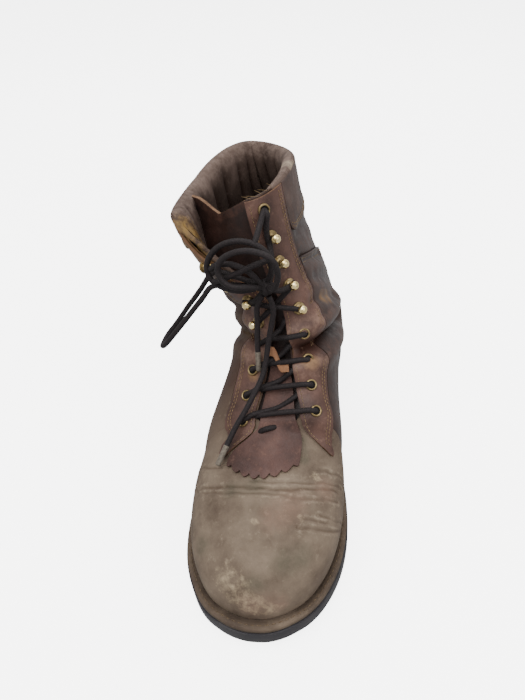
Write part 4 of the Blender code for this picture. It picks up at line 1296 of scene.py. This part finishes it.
def make_tongue():
    """Leather sheet behind the throat; its outer half folds back at the top."""
    first = TONGUE[0].row
    behind = WALL + 3 * GAP

    def place(a, b):
        row = mix(first, straight(TONGUE_TOP, b).row, a)
        form = straight(TONGUE, row)
        inner = throat_gap(INNER, row) + form.reach
        outer = throat_gap(OUTER, row) + form.reach
        middle = 1 - (2 * b - 1) ** 2
        flat = across_throat(row, mix(inner, -outer, b), -behind - form.sag * middle)
        flat += Vector((0, 1, 0)) * slack_at(flat) * middle
        if form.fold == 0:
            return flat
        crease = throat_line(row, FOLD_SHARE, -behind) + Vector((0.0, FOLD_BACK * MM, 0.0))
        stops = (
            across_throat(row, inner, -behind),
            throat_line(row, 1.0, -behind),
            crease,
            on_upper(OUTER, row, FOLD_REACH, -behind),
        )
        folded = Vector(smooth(stops, (len(stops) - 1) * b))
        return flat.lerp(folded, form.fold)

    def worn(a, b):
        return -1.6 * max((a - 0.965) / 0.035, 0.0)

    sheet = grid(170, 44, place, worn=worn)
    sheet.normal_update()
    offsets = wear_in(np.array([vertex.co for vertex in sheet.verts]))[0]
    for vertex, offset in zip(sheet.verts, offsets):
        vertex.co += vertex.normal * TONGUE_GIVES * min(offset, 0.0)
    tongue = piece("tongue_leather", sheet, (GREASY_SHADED_TONGUE, CUT_EDGE), ("tongue",))
    thicken(tongue, TONGUE_THICK, -1.0, edge=0.6, rim=1)


# The kiltie's top end curls forward over itself: row and lift
KILTIE_CURL = (
    (10.3, -1.6),
    (10.8, -1.0),
    (11.2, 0.6),
    (11.45, 2.6),
    (11.45, 4.2),
    (11.25, 5.2),
    (10.95, 5.4),
)
KILTIE_FLAT = 0.86       # share of its length before the curl
KILTIE_SLANT = 1.0       # how much higher its outer corner curls, in rows
SLANT_FROM = 0.3         # where across the kiltie that starts, and its width
SLANT_OVER = 0.55
KILTIE_HANG = 0.12       # how far its worn edge hangs down, in rows


def slant(b):
    """A smooth step from the kiltie's inner half to its outer half."""
    share = min(max((b - SLANT_FROM) / SLANT_OVER, 0.0), 1.0)
    return share * share * (3 - 2 * share)


def make_kiltie():
    """False tongue over the vamp, pinked at its front edge, curled at its top."""
    first = KILTIE[0].row - KILTIE_HANG
    last = KILTIE_CURL[0][0]

    def place(a, b):
        if a > KILTIE_FLAT:
            turn = (a - KILTIE_FLAT) / (1 - KILTIE_FLAT)
            row, lift = smooth(KILTIE_CURL, turn * (len(KILTIE_CURL) - 1))
            row += KILTIE_SLANT * slant(b) * min(2 * turn, 1.0)
            form = straight(KILTIE, row)._replace(row=row, lift=lift)
        else:
            tooth = 1 - abs(math.cos(math.pi * KILTIE_POINTS * b))
            dent = KILTIE_TOOTH * tooth + KILTIE_BOW * (2 * b - 1) ** 2
            row = mix(first + dent, last, a / KILTIE_FLAT)
            form = straight(KILTIE, row)._replace(row=row)
        point = across_throat(form.row, mix(form.inner, -form.outer, b), form.lift)
        return point + Vector((0, 0, 1)) * slack_at(point) * 0.6

    kiltie = piece(
        "kiltie_leather", grid(140, 98, place), (KILTIE_LEATHER, SUEDE, KILTIE_LEATHER),
        ("kiltie",))
    thicken(kiltie, KILTIE_THICK, 1.0, edge=0.3, inside=1, rim=2)


def slab(reach, top, bottom, stations=110, columns=8, ends=None):
    """A closed slab inside an outline, between two heights along the sole."""
    ends = ends or sole_ends(reach)
    body = bmesh.new()
    for height, flip in ((top, True), (bottom, False)):

        def place(a, b):
            at = mix(ends[0], ends[1], (1 - math.cos(math.pi * a)) / 2)
            across = mix(half_width(at, reach, INNER), -half_width(at, reach, OUTER), b)
            return spot(at, across, height(at))

        add_to(body, grid(stations, columns, place, flip=flip))
    bmesh.ops.remove_doubles(body, verts=body.verts, dist=1e-6)
    rims = [edge for edge in body.edges if edge.is_boundary]
    bmesh.ops.bridge_loops(body, edges=rims)
    bmesh.ops.recalc_face_normals(body, faces=body.faces)
    return body


def sole_top(at):
    return feather_height(at) - WELT_THICK - 2 * GAP


def sole_bottom(at):
    """Flat under ball and heel seat, with an arch and a toe spring."""
    return max(sole_top(at) - SOLE_THICK, 0.0)


GROOVES = 7
FIRST_GROOVE = 172.0
GROOVE_PITCH = 12.0
GROOVE_WIDTH = 4.5
TREAD_RIM = 13.0


def cut_groove(made, at, inner, outer, width):
    """Cut one straight groove across the tread."""
    box = bmesh.new()
    bmesh.ops.create_cube(box, size=1.0)
    bmesh.ops.scale(box, vec=Vector((inner + outer, width, 2 * TREAD_DEPTH)) * MM, verts=box.verts)
    bmesh.ops.translate(box, vec=spot(at, (inner - outer) / 2, 0.0), verts=box.verts)
    mesh = bpy.data.meshes.new("groove")
    box.to_mesh(mesh)
    box.free()
    cutter = bpy.data.objects.new("groove", mesh)
    bpy.context.scene.collection.objects.link(cutter)
    trim = made.modifiers.new("groove", "BOOLEAN")
    trim.operation = "DIFFERENCE"
    trim.object = cutter
    return cutter


def settle(made, cutters=()):
    """Apply a piece's modifiers and take its cutters away."""
    seen = made.evaluated_get(bpy.context.evaluated_depsgraph_get())
    mesh = bpy.data.meshes.new_from_object(seen)
    made.modifiers.clear()
    made.data = mesh
    for cutter in cutters:
        bpy.data.objects.remove(cutter, do_unlink=True)


def make_outsole():
    outsole = piece(
        "outsole_rubber", slab(SOLE_REACH, sole_top, sole_bottom), (RUBBER,),
        ("outsole",))
    cutters = []
    for i in range(GROOVES):
        at = FIRST_GROOVE + i * GROOVE_PITCH
        inner = half_width(at, SOLE_REACH, INNER) - TREAD_RIM
        outer = half_width(at, SOLE_REACH, OUTER) - TREAD_RIM
        cutters.append(cut_groove(outsole, at, inner, outer, GROOVE_WIDTH))
    settle(outsole, cutters)
    round_edges(outsole, 0.9, segments=3, degrees=50)


# Heel levels: height over the floor and inset from the outsole's edge
HeelLevel = namedtuple("HeelLevel", "height inset")
HEEL = (
    HeelLevel(0.0, 4.2),
    HeelLevel(1.6, 3.0),
    HeelLevel(8.4, 2.2),
    HeelLevel(8.7, 2.7),
    HeelLevel(9.1, 2.7),
    HeelLevel(9.4, 2.1),
    HeelLevel(22.3, 0.6),
)


def make_heel():
    """Heel block with a lift line round it."""

    def place(a, b):
        level = HEEL[round(b * (len(HEEL) - 1))]
        reach = SOLE_REACH - level.inset
        back = sole_ends(reach)[0]
        side = INNER if a < 0.5 else OUTER
        along = 2 * a if a < 0.5 else 2 - 2 * a
        at = mix(back, HEEL_BREAST - level.inset, 1 - math.cos(math.pi / 2 * along))
        half = half_width(at, reach, side) if along > 0 else 0.0
        return spot(at, side * half, level.height)

    body = grid(120, len(HEEL) - 1, place)
    bmesh.ops.remove_doubles(body, verts=body.verts, dist=1e-6)
    bmesh.ops.holes_fill(body, edges=[edge for edge in body.edges if edge.is_boundary])
    bmesh.ops.recalc_face_normals(body, faces=body.faces)
    heel = piece("heel_block", body, (RUBBER,), ("heel",))
    round_edges(heel, 0.5, degrees=50)


# Welt's section: reach from the feather line and height over it
WeltCorner = namedtuple("WeltCorner", "reach height")
WELT_SECTION = (
    WeltCorner(-9.0, -0.1),
    WeltCorner(-1.6, -0.1),
    WeltCorner(-0.6, -0.9),
    WeltCorner(0.8, -0.8),
    WeltCorner(1.8, 0.2),
    WeltCorner(4.6, 0.3),
    WeltCorner(5.8, -0.2),
    WeltCorner(6.2, -1.2),
    WeltCorner(6.2, -3.0),
    WeltCorner(5.7, -3.6),
    WeltCorner(-9.0, -3.6),
)


def rim_place(a, reach):
    """Station and offset along the sole's rim: inner side first, then outer."""
    ends = sole_ends(reach)
    side = INNER if a < 0.5 else OUTER
    along = 2 * a if a < 0.5 else 2 - 2 * a
    at = mix(ends[0], ends[1], (1 - math.cos(math.pi * along)) / 2)
    half = half_width(at, reach, side) if 0 < along < 1 else 0.0
    return at, side * half


def make_welt():
    def place(a, b):
        corner = WELT_SECTION[round(b * len(WELT_SECTION)) % len(WELT_SECTION)]
        at, across = rim_place(a, corner.reach)
        return spot(at, across, feather_height(at) + corner.height)

    ring = grid(280, len(WELT_SECTION), place)
    bmesh.ops.remove_doubles(ring, verts=ring.verts, dist=1e-6)
    bmesh.ops.recalc_face_normals(ring, faces=ring.faces)
    piece("welt_strip", ring, (WELT,), ("welt",))


def make_insole():
    body = slab(
        -(WALL + 7 * GAP),
        lambda at: feather_height(at) + GAP + INSOLE_THICK,
        lambda at: feather_height(at) + GAP,
    )
    insole = piece("insole_board_piece", body, (INSOLE,), ("insole",))
    round_edges(insole, 0.6)


def stitch_shape():
    """One thread stitch of unit length: a slim bead, sunk at its ends."""
    bead = bmesh.new()
    bmesh.ops.create_uvsphere(bead, u_segments=6, v_segments=4, radius=1.0)
    bmesh.ops.rotate(bead, matrix=Matrix.Rotation(math.pi / 2, 3, "Y"), verts=bead.verts)
    mesh = bpy.data.meshes.new("stitch")
    bead.to_mesh(mesh)
    bead.free()
    return mesh


STITCH = stitch_shape()


def add_stitch(body, start, end, normal, thick):
    """A stitch between two needle holes."""
    run = end - start
    turn = Matrix((run.normalized(), normal.cross(run).normalized(), normal)).transposed()
    shape = turn.to_4x4() @ Matrix.Diagonal((run.length / 2, thick * MM, thick * MM, 1.0))
    bead = STITCH.copy()
    bead.transform(Matrix.Translation((start + end) / 2) @ shape)
    body.from_mesh(bead)
    bpy.data.meshes.remove(bead)


STITCH_PITCH = 2.4
STITCH_DRAW = 0.82       # share of the pitch that shows
STITCH_THICK = 0.22
STITCH_STOPS = 90


def sew(body, stops):
    """Stitches along places on the wall: side, row, share and lift."""
    places = wall_places(stops)
    walked = walk([point for point, _ in places])

    def along(distance):
        i = min(max(bisect.bisect_right(walked, distance), 1), len(walked) - 1)
        share = (distance - walked[i - 1]) / max(walked[i] - walked[i - 1], 1e-9)
        low, high = places[i - 1], places[i]
        return low[0].lerp(high[0], share), low[1].lerp(high[1], share).normalized()

    for i in range(int(walked[-1] / STITCH_PITCH)):
        start, normal = along(i * STITCH_PITCH)
        end, _ = along((i + STITCH_DRAW) * STITCH_PITCH)
        add_stitch(body, start, end, normal, STITCH_THICK)


# Rows of stitches: their rows on the boot, and their distance from an edge
FACING_TOP = 22.85
FACING_INSETS = (2.6, 4.6)
NEAR_INSET = 2.4
QUARTER_INSETS = (2.6, 4.8)
QUARTER_SEWN = (10.2, 17.6)
QUARTER_TOP = (0.14, 0.34)                   # rows below the quarter's top
BACK_SEAM = (19.4, 21.3)
CUFF_RISES = (0.07, 0.14)                    # shares of the cuff's height
NEAR_ROW_END = {INNER: 22.85, OUTER: 20.0}   # top of the stitches along the throat edge


def border_stops(side, first, last, distance_at, lift):
    stops = []
    for i in range(STITCH_STOPS + 1):
        row = mix(first, last, i / STITCH_STOPS)
        stops.append((side, row, share_at(side, row, distance_at(row)), lift))
    return stops


# Frayed threads at the inner facing's top: distance from the throat edge, and run
Fray = namedtuple("Fray", "distance across up")
FRAYS = (
    Fray(5.0, -6.0, 2.0),
    Fray(9.0, -7.5, 0.5),
    Fray(12.0, -5.0, 3.0),
    Fray(17.0, -6.5, 1.0),
    Fray(22.0, -4.0, 2.5),
)
FRAY_THICK = 0.12


def make_stitches():
    """Rows of tan thread on facings, quarters and cuff, and frayed ends at the top."""
    body = bmesh.new()
    over = FACE + 0.1
    for side, _ in SIDES:
        facing = FACING[side]
        first = facing[1].row + 0.2
        for inset in FACING_INSETS:
            sew(body, border_stops(
                side, first, FACING_TOP, lambda row: straight(facing, row).far - inset, over))
        sew(body, border_stops(
            side, first, NEAR_ROW_END[side],
            lambda row: straight(facing, row).near + NEAR_INSET, over))
        borders = quarter_borders(side)
        for inset in QUARTER_INSETS:
            sew(body, border_stops(
                side, *QUARTER_SEWN, lambda row: borders(row)[1] - inset, over))
        for back in QUARTER_TOP:
            row = QUARTER[-1].row - back
            near, far = borders(row)
            places = [mix(near + 2, far - 2, i / STITCH_STOPS) for i in range(STITCH_STOPS + 1)]
            sew(body, [(side, row, share_at(side, row, place), over) for place in places])
        sew(body, [(side, mix(*BACK_SEAM, i / 30), 0.975, 0.1) for i in range(31)])
    for rise in CUFF_RISES:
        sew(body, [(*cuff_where(rise, 0.01 + 0.98 * i / 160), over) for i in range(161)])
    for fray in FRAYS:
        root = face_point(INNER, COLLAR_ROW - 0.05, fray.distance, 0.4)
        tip = root + Vector((fray.across, -1.0, fray.up)) * MM
        side_on = Vector((0.0, 1.0, 0.0)).cross(tip - root).normalized()
        add_stitch(body, root, tip, side_on, FRAY_THICK)
    piece("thread_stitches", body, (THREAD,))


WELT_PITCH = 3.6
WELT_DRAW = 0.78         # share of the pitch that shows
WELT_GAP = 0.22          # and the rest
WELT_ROW = 3.4           # reach of the row from the feather line
WELT_STITCH = 0.36       # its thread
WELT_STEPS = 900         # steps in which the row is walked


def make_welt_stitches():
    """A row of stitches on the welt, all round the upper."""
    body = bmesh.new()
    up = Vector((0, 0, 1))
    places = []
    for i in range(WELT_STEPS + 1):
        at, across = rim_place(i / WELT_STEPS, WELT_ROW)
        places.append(spot(at, across, feather_height(at) + WELT_STITCH))
    walked = 0.0
    start = places[0]
    for low, high in zip(places, places[1:]):
        walked += (high - low).length / MM
        if walked >= WELT_PITCH * WELT_DRAW and (high - start).length < 2 * WELT_PITCH * MM:
            add_stitch(body, start, high, up, WELT_STITCH)
            start = high + (high - start).normalized() * WELT_PITCH * WELT_GAP * MM
            walked = -WELT_PITCH * WELT_GAP
    piece("welt_stitches", body, (WELT_THREAD,))


EDGE_STEPS = 400


@functools.lru_cache(maxsize=None)
def eyelet_rows(side):
    """Rows of one side's eyelets, evenly spaced along the throat edge."""
    ends = FIRST_EYELET_ROW[side], TOP_EYELET_ROW[side]
    rows = [mix(*ends, i / EDGE_STEPS) for i in range(EDGE_STEPS + 1)]
    walked = walk([on_upper(side, row, 0.0, 0.0) for row in rows])
    places = []
    for i in range(EYELETS_A_SIDE):
        goal = walked[-1] * i / (EYELETS_A_SIDE - 1)
        places.append(rows[min(bisect.bisect_left(walked, goal), EDGE_STEPS)])
    return places


# Hooks that lean towards the throat, where the slack wall rolls
HOOK_LEAN = {(OUTER, 5): 0.3, (OUTER, 6): 1.0, (OUTER, 7): 2.6}
HOOK_SHIFT = {(OUTER, 7): 4.0}           # hooks that sit nearer to the throat edge


def eyelet_seat(side, number, lift=0.0):
    """Centre of an eyelet or hook on the facing, and its outward direction."""
    row = eyelet_rows(side)[number]
    share = share_at(side, row, EYELET_SETBACK - HOOK_SHIFT.get((side, number), 0.0))
    foot, normal = wall_places([(side, row, share, FACE)])[0]
    lean = HOOK_LEAN.get((side, number), 0.0)
    if lean:
        edge = face_point(side, row, 0.0, FACE)
        normal = (normal + (edge - foot).normalized() * lean).normalized()
    return foot + normal * lift * MM, normal


Turn = namedtuple("Turn", "radius height")
EYELET_PROFILE = (
    Turn(2.3, 0.05),
    Turn(2.35, 0.6),
    Turn(2.65, 0.95),
    Turn(3.1, 1.0),
    Turn(3.5, 0.75),
    Turn(3.75, 0.25),
    Turn(3.8, -0.2),
)
HOOK_PROFILE = (
    Turn(0.0, 8.3),
    Turn(1.1, 8.15),
    Turn(2.0, 7.6),
    Turn(2.7, 6.7),
    Turn(2.9, 5.7),
    Turn(2.6, 4.7),
    Turn(1.9, 3.9),
    Turn(1.4, 3.2),
    Turn(1.5, 2.0),
    Turn(2.2, 1.2),
    Turn(3.0, 0.9),
    Turn(3.4, 1.0),
    Turn(3.9, 0.7),
    Turn(4.1, 0.1),
    Turn(4.1, -0.2),
)
HOLE_RADIUS = 2.5
BRIGHT_FROM = 3.4        # height on a hook where its polished ball starts


def turned(profile, seat, steps=28):
    """A turned shape from its profile, standing on a seat."""
    body = bmesh.new()
    corners = [body.verts.new((turn.radius * MM, 0.0, turn.height * MM)) for turn in profile]
    edges = [body.edges.new(pair) for pair in zip(corners, corners[1:])]
    bmesh.ops.spin(
        body, geom=corners + edges, cent=(0, 0, 0), axis=(0, 0, 1), angle=2 * math.pi,
        steps=steps, use_merge=True)
    bmesh.ops.remove_doubles(body, verts=body.verts, dist=1e-6)
    bmesh.ops.recalc_face_normals(body, faces=body.faces)
    for face in body.faces:
        face.material_index = int(face.calc_center_median().z > BRIGHT_FROM * MM)
    point, normal = seat
    place = Matrix.Translation(point) @ normal.to_track_quat("Z", "Y").to_matrix().to_4x4()
    bmesh.ops.transform(body, matrix=place, verts=body.verts)
    return body


def make_eyelets():
    holes = bmesh.new()
    for side, name in SIDES:
        for number in range(EYELETS_A_SIDE):
            seat = eyelet_seat(side, number)
            if number in HOOK_PLACES:
                kind, profile = "hook", HOOK_PROFILE
            else:
                kind, profile = "eyelet", EYELET_PROFILE
                point, normal = seat
                place = Matrix.Translation(point + normal * 0.15 * MM)
                place = place @ normal.to_track_quat("Z", "Y").to_matrix().to_4x4()
                # painted shade: a black disc just over the facing, inside the eyelet's ring
                bmesh.ops.create_circle(
                    holes, cap_ends=True, segments=20, radius=HOLE_RADIUS * MM, matrix=place)
            piece(
                f"{kind}_metal_{name}_{number + 1}", turned(profile, seat),
                (ANTIQUE_BRASS, BRIGHT_BRASS), (f"{kind}_{name}_{number + 1}",))
    piece("eyelet_holes", holes, (HOLE_SHADE,))


def cord_line(name, points, finish):
    """A cord as a curve of one open spline, smooth through points in metres."""
    line = bpy.data.curves.new(name, "CURVE")
    line.dimensions = "3D"
    line.bevel_depth = LACE_RADIUS * MM
    line.bevel_resolution = 3
    line.resolution_u = 6
    line.use_fill_caps = True
    spline = line.splines.new("BEZIER")
    spline.bezier_points.add(len(points) - 1)
    for place, point in zip(spline.bezier_points, points):
        place.co = point
        place.handle_left_type = "AUTO"
        place.handle_right_type = "AUTO"
    made = bpy.data.objects.new(name, line)
    bpy.context.scene.collection.objects.link(made)
    line.materials.append(finish)
    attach(made, "root")
    return made


def at_knot(towards):
    """Where a stretch of lace leaves the knot on its way to a point."""
    way = (Vector(towards) - Vector(KNOT)).normalized()
    return Route(*(Vector(KNOT) + way * (KNOT_RADIUS + 2 * GAP)))


def line_length(points):
    return sum((high - low).length for low, high in zip(points, points[1:]))


AGLET_LENGTH = 13.0
AGLET_PROFILE = (
    Turn(0.0, -0.6),
    Turn(1.3, -0.5),
    Turn(1.85, 0.0),
    Turn(1.9, 0.6),
    Turn(1.75, 1.4),
    Turn(1.75, AGLET_LENGTH - 1.2),
    Turn(1.5, AGLET_LENGTH - 0.4),
    Turn(0.9, AGLET_LENGTH),
    Turn(0.0, AGLET_LENGTH + 0.1),
)
FREE_POINTS = 15         # least number of points on a free stretch


def make_free_lace(name, node, route, returns, lay):
    """A free stretch of the bow: a loop back to the knot, or an end with its aglet."""
    stops = [at_knot(route[0])] + list(route)
    if returns:
        stops.append(at_knot(route[-1]))
    runs = len(stops) - 1
    steps = max(CORD_STEPS, math.ceil(FREE_POINTS / runs))
    points = [spot(*smooth(stops, i / steps)) for i in range(runs * steps + 1)]
    made = cord_line(name, points, LACE)
    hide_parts(node)
    if not returns:
        seat = points[-1], (points[-1] - points[-2]).normalized()
        sleeve = turned(AGLET_PROFILE, seat, 16)
        piece(f"{name}_aglet", sleeve, (AGLET,))
    tuple(points[0])
    line_length(points)


# The knot: rings of lace round its middle, each with its tilt, turn and reach
Wrap = namedtuple("Wrap", "tilt turn reach")
WRAPS = (Wrap(0.0, 0.0, 3.6), Wrap(0.5, 0.9, 3.2), Wrap(-0.45, -0.6, 3.4))


def make_knot():
    """The bow's knot: a wrap of lace round the crossing strands."""
    body = bmesh.new()
    for wrap in WRAPS:
        ring = bmesh.new()
        bmesh.ops.create_circle(ring, segments=12, radius=LACE_RADIUS * MM)
        bmesh.ops.rotate(ring, matrix=Matrix.Rotation(math.pi / 2, 3, "X"), verts=ring.verts)
        bmesh.ops.translate(ring, vec=(wrap.reach * MM, 0, 0), verts=ring.verts)
        bmesh.ops.spin(
            ring, geom=ring.verts[:] + ring.edges[:], cent=(0, 0, 0), axis=(0, 0, 1),
            angle=2 * math.pi, steps=28, use_merge=True)
        bmesh.ops.recalc_face_normals(ring, faces=ring.faces)
        tilt = Matrix.Rotation(math.pi / 2 + wrap.tilt, 3, "Y")
        turn = Matrix.Rotation(wrap.turn, 3, "X")
        bmesh.ops.rotate(ring, matrix=tilt @ turn, verts=ring.verts)
        bmesh.ops.translate(ring, vec=spot(*KNOT), verts=ring.verts)
        add_to(body, ring)
    piece("bow_knot", body, (LACE,), ("lace_knot",))


LACE_OVER = LACE_RADIUS + 0.2
# How far up towards the next pair a strand goes, by the side it leaves
STRAND_RISE = {INNER: 0.15, OUTER: 0.65}


def crossing(side, number):
    """A lace out of one eyelet, over the throat and under the other facing."""
    hole, normal = eyelet_seat(side, number)
    row = eyelet_rows(side)[number]
    other = -side
    low, high = eyelet_rows(other)[number], eyelet_rows(other)[number + 1]
    goal = mix(low, high, STRAND_RISE[side])
    over = FACE + LACE_OVER
    middle = across_throat(mix(row, goal, 0.5), 0.0, over - 1.2 + 1.7 * side)
    return [
        hole - normal * 0.8 * MM,
        hole + normal * 1.9 * MM + (middle - hole).normalized() * 1.2 * MM,
        face_point(side, mix(row, goal, 0.1), 5.0, over + 0.3),
        face_point(side, mix(row, goal, 0.25), 0.6, over),
        middle,
        face_point(other, mix(row, goal, 0.92), 0.0, 1.2 + 0.5 * side),
        face_point(other, goal, 1.6, -WALL - LACE_OVER - 1.2),
    ]


HOOK_NECK = 2.9          # height of the lace on a hook's neck
HOOK_ROUND = 3.0         # and its distance from the neck's middle


def hook_crossing(side, number):
    """A lace from behind one hook to behind the next one of the other side."""
    first = eyelet_seat(side, number, HOOK_NECK)[0]
    last = eyelet_seat(-side, number + 1, HOOK_NECK)[0]
    row = mix(eyelet_rows(side)[number], eyelet_rows(-side)[number + 1], 0.5)
    away = (first - last).normalized() * HOOK_ROUND * MM
    middle = across_throat(row, 0.0, FACE + 2.6 + 1.8 * side)
    return [first + away, middle, last - away]


def lace_points(stops, steps=6):
    """Points on a smooth curve through stops in metres."""
    runs = len(stops) - 1
    return [Vector(smooth(stops, i / steps)) for i in range(runs * steps + 1)]


# Strands that cross inside the bow
BOW_STRANDS = (
    (Route(169.0, -2.0, 166.5), Route(171.0, -9.0, 178.0), Route(171.5, -18.0, 183.0),
     Route(170.0, -27.0, 181.5), Route(167.0, -31.5, 177.0)),
    (Route(170.0, 3.0, 186.0), Route(172.0, -5.0, 183.5), Route(172.5, -15.0, 178.5),
     Route(171.5, -24.0, 173.5), Route(168.5, -30.5, 169.5)),
)


# A lace that shows in the kiltie's slit
Slit = namedtuple("Slit", "row reach lift")
SLIT = (
    Slit(8.05, -12.0, 0.2),
    Slit(8.1, -10.0, 2.6),
    Slit(8.22, -6.5, 4.0),
    Slit(8.34, -3.0, 2.8),
    Slit(8.4, -1.0, 0.2),
)


def make_lacing():
    """The laced part: through the eyelets, then round the hooks up to the bow."""
    lines = []
    for number in range(HOOK_PLACES[0]):
        for side, _ in SIDES:
            lines.append(crossing(side, number))
    lines += [hook_crossing(side, 4) for side, _ in SIDES]
    knot = spot(*KNOT)
    for side, _ in SIDES:
        hook = eyelet_seat(side, 5, HOOK_NECK)[0]
        lines.append([hook, hook.lerp(knot, 0.5) + Vector((0, -2, -2)) * MM, knot])
    top, normal = eyelet_seat(INNER, 8)
    out = top + normal * 2.2 * MM
    hook, away = eyelet_seat(INNER, 7, HOOK_NECK)
    bow = spot(*UPPER_LOOP[2])
    lines.append([
        top - normal * 0.8 * MM,
        out + Vector((-1.6, -1.0, -1.2)) * MM,
        out.lerp(bow, 0.55) + Vector((-1, -4, -2)) * MM,
        bow,
    ])
    lines.append([
        top - normal * 0.8 * MM,
        out + Vector((0.6, -1.0, -1.8)) * MM,
        out.lerp(hook, 0.5) + away * 1.0 * MM + Vector((-2.5, 0, 0)) * MM,
        hook + Vector((-3.4, -0.6, 0.6)) * MM,
        hook + Vector((-2.2, -1.4, -5.0)) * MM,
        knot.lerp(hook, 0.4) + Vector((2, -3, -1)) * MM,
        knot,
    ])
    lines.append([across_throat(*stop) for stop in SLIT])
    for strand in BOW_STRANDS:
        lines.append([spot(*stop) for stop in strand])
    for i, stops in enumerate(lines):
        made = cord_line(f"lacing_{i + 1}", lace_points(stops), LACE)
        if i == 0:
            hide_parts("lace_bars")


PULL_TOP = 33.0          # upper end of the webbing, below the collar
PULL_LOW = 64.0
PULL_WIDTH = 18.0
PULL_THICK = 1.6
PULL_STAND = 9.0         # how far its middle stands off the back


def make_pull_loop():
    """Webbing sewn to the back seam, on the cuff above and on the shaft below."""
    ends = [row_below_collar(INNER, 1.0, depth) for depth in (PULL_TOP, PULL_LOW)]
    lifts = (FACE + GAP + PULL_THICK / 2, GAP + PULL_THICK / 2)
    seats = [
        upper_point(INNER, row, 1.0) + upper_normal(INNER, row, 1.0) * lift * MM
        for row, lift in zip(ends, lifts)
    ]
    out = Vector((0.0, 1.0, 0.0))
    sideways = Vector((1.0, 0.0, 0.0))

    def place(a, b):
        bulge = out * PULL_STAND * math.sin(math.pi * a) * MM
        return seats[0].lerp(seats[1], a) + bulge + sideways * (b - 0.5) * PULL_WIDTH * MM

    loop = piece("pull_webbing", grid(48, 10, place), (WEBBING,), ("pull_loop",))
    thicken(loop, PULL_THICK, 0.0, edge=0.3)


CAMERA_PLACE = (0.0566, -0.2863, 0.345)
CAMERA_TURN = (50.0, 0.0, 2.7)           # in degrees
CAMERA_LENS = 28.8
CAMERA_SENSOR = 36.0
CAMERA_SHIFT = -74 / 700                 # brings the boot to the middle of the picture


def make_camera():
    """A short lens 345 mm over the floor, in front of the toe, 40 degrees down."""
    lens = bpy.data.cameras.new("camera")
    lens.lens = CAMERA_LENS
    lens.sensor_width = CAMERA_SENSOR
    lens.shift_x = CAMERA_SHIFT
    camera = bpy.data.objects.new("camera", lens)
    camera.location = CAMERA_PLACE
    camera.rotation_euler = [math.radians(angle) for angle in CAMERA_TURN]
    bpy.context.scene.collection.objects.link(camera)
    bpy.context.scene.camera = camera


FLOOR_GLOW = 4.6             # the floor's own light, towards the camera only
Lamp = namedtuple("Lamp", "name place power size")
LAMPS = (
    Lamp("key", (-0.2, -0.5, 1.5), 30.0, 1.3),
    Lamp("fill", (0.9, -0.5, 0.9), 8.0, 1.2),
    Lamp("back", (0.1, 1.0, 1.2), 10.0, 1.2),
)


def make_floor():
    sheet = bmesh.new()
    bmesh.ops.create_grid(sheet, x_segments=1, y_segments=1, size=3.0)
    mesh = bpy.data.meshes.new("floor")
    sheet.to_mesh(mesh)
    sheet.free()
    floor = bpy.data.objects.new("floor", mesh)
    bpy.context.scene.collection.objects.link(floor)
    finish, _, shader = new_finish(
        "pale floor", Base_Color=hex_colour("#f7f7f6"), Roughness=0.9, Specular_IOR_Level=0.1)
    shader.inputs["Emission Color"].default_value = hex_colour("#ffffff")
    shader.inputs["Emission Strength"].default_value = FLOOR_GLOW
    mesh.materials.append(finish)
    floor.visible_diffuse = False
    floor.visible_glossy = False
    floor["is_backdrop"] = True


def make_studio():
    """A pale floor under soft light from above."""
    make_floor()
    world = bpy.data.worlds.new("studio")
    world.use_nodes = True
    sky = world.node_tree.nodes["Background"]
    sky.inputs["Color"].default_value = hex_colour("#ffffff")
    sky.inputs["Strength"].default_value = 0.8
    bpy.context.scene.world = world
    for lamp in LAMPS:
        light = bpy.data.lights.new(lamp.name, "AREA")
        light.energy = lamp.power
        light.size = lamp.size
        made = bpy.data.objects.new(lamp.name, light)
        made.location = lamp.place
        made.rotation_euler = (-Vector(lamp.place)).to_track_quat("-Z", "Y").to_euler()
        bpy.context.scene.collection.objects.link(made)


make_camera()
for cord_name, cord_node, cord_route, comes_back, cord_lay in (
        ("bow_loop_upper", "lace_upper_loop", UPPER_LOOP, True, "loose"),
        ("bow_loop_inner", "lace_inner_loop", INNER_LOOP, True, "loose"),
        ("bow_loop_side", "lace_side_loop", SIDE_LOOP, True, "loose"),
        ("bow_end_long", "lace_long_end", LONG_END, False, "hanging"),
        ("bow_end_short", "lace_short_end", SHORT_END, False, "hanging")):
    make_free_lace(cord_name, cord_node, cord_route, comes_back, cord_lay)
make_knot()
make_lacing()
make_eyelets()
make_upper()
make_panels()
make_cuff()
make_collar()
make_tongue()
make_kiltie()
make_outsole()
make_heel()
make_welt()
make_insole()
make_pull_loop()
make_stitches()
make_welt_stitches()
make_studio()

boxes = {"cad": cad_box, "visual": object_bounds()}
{name: [list(corner) for corner in box] for name, box in boxes.items()}
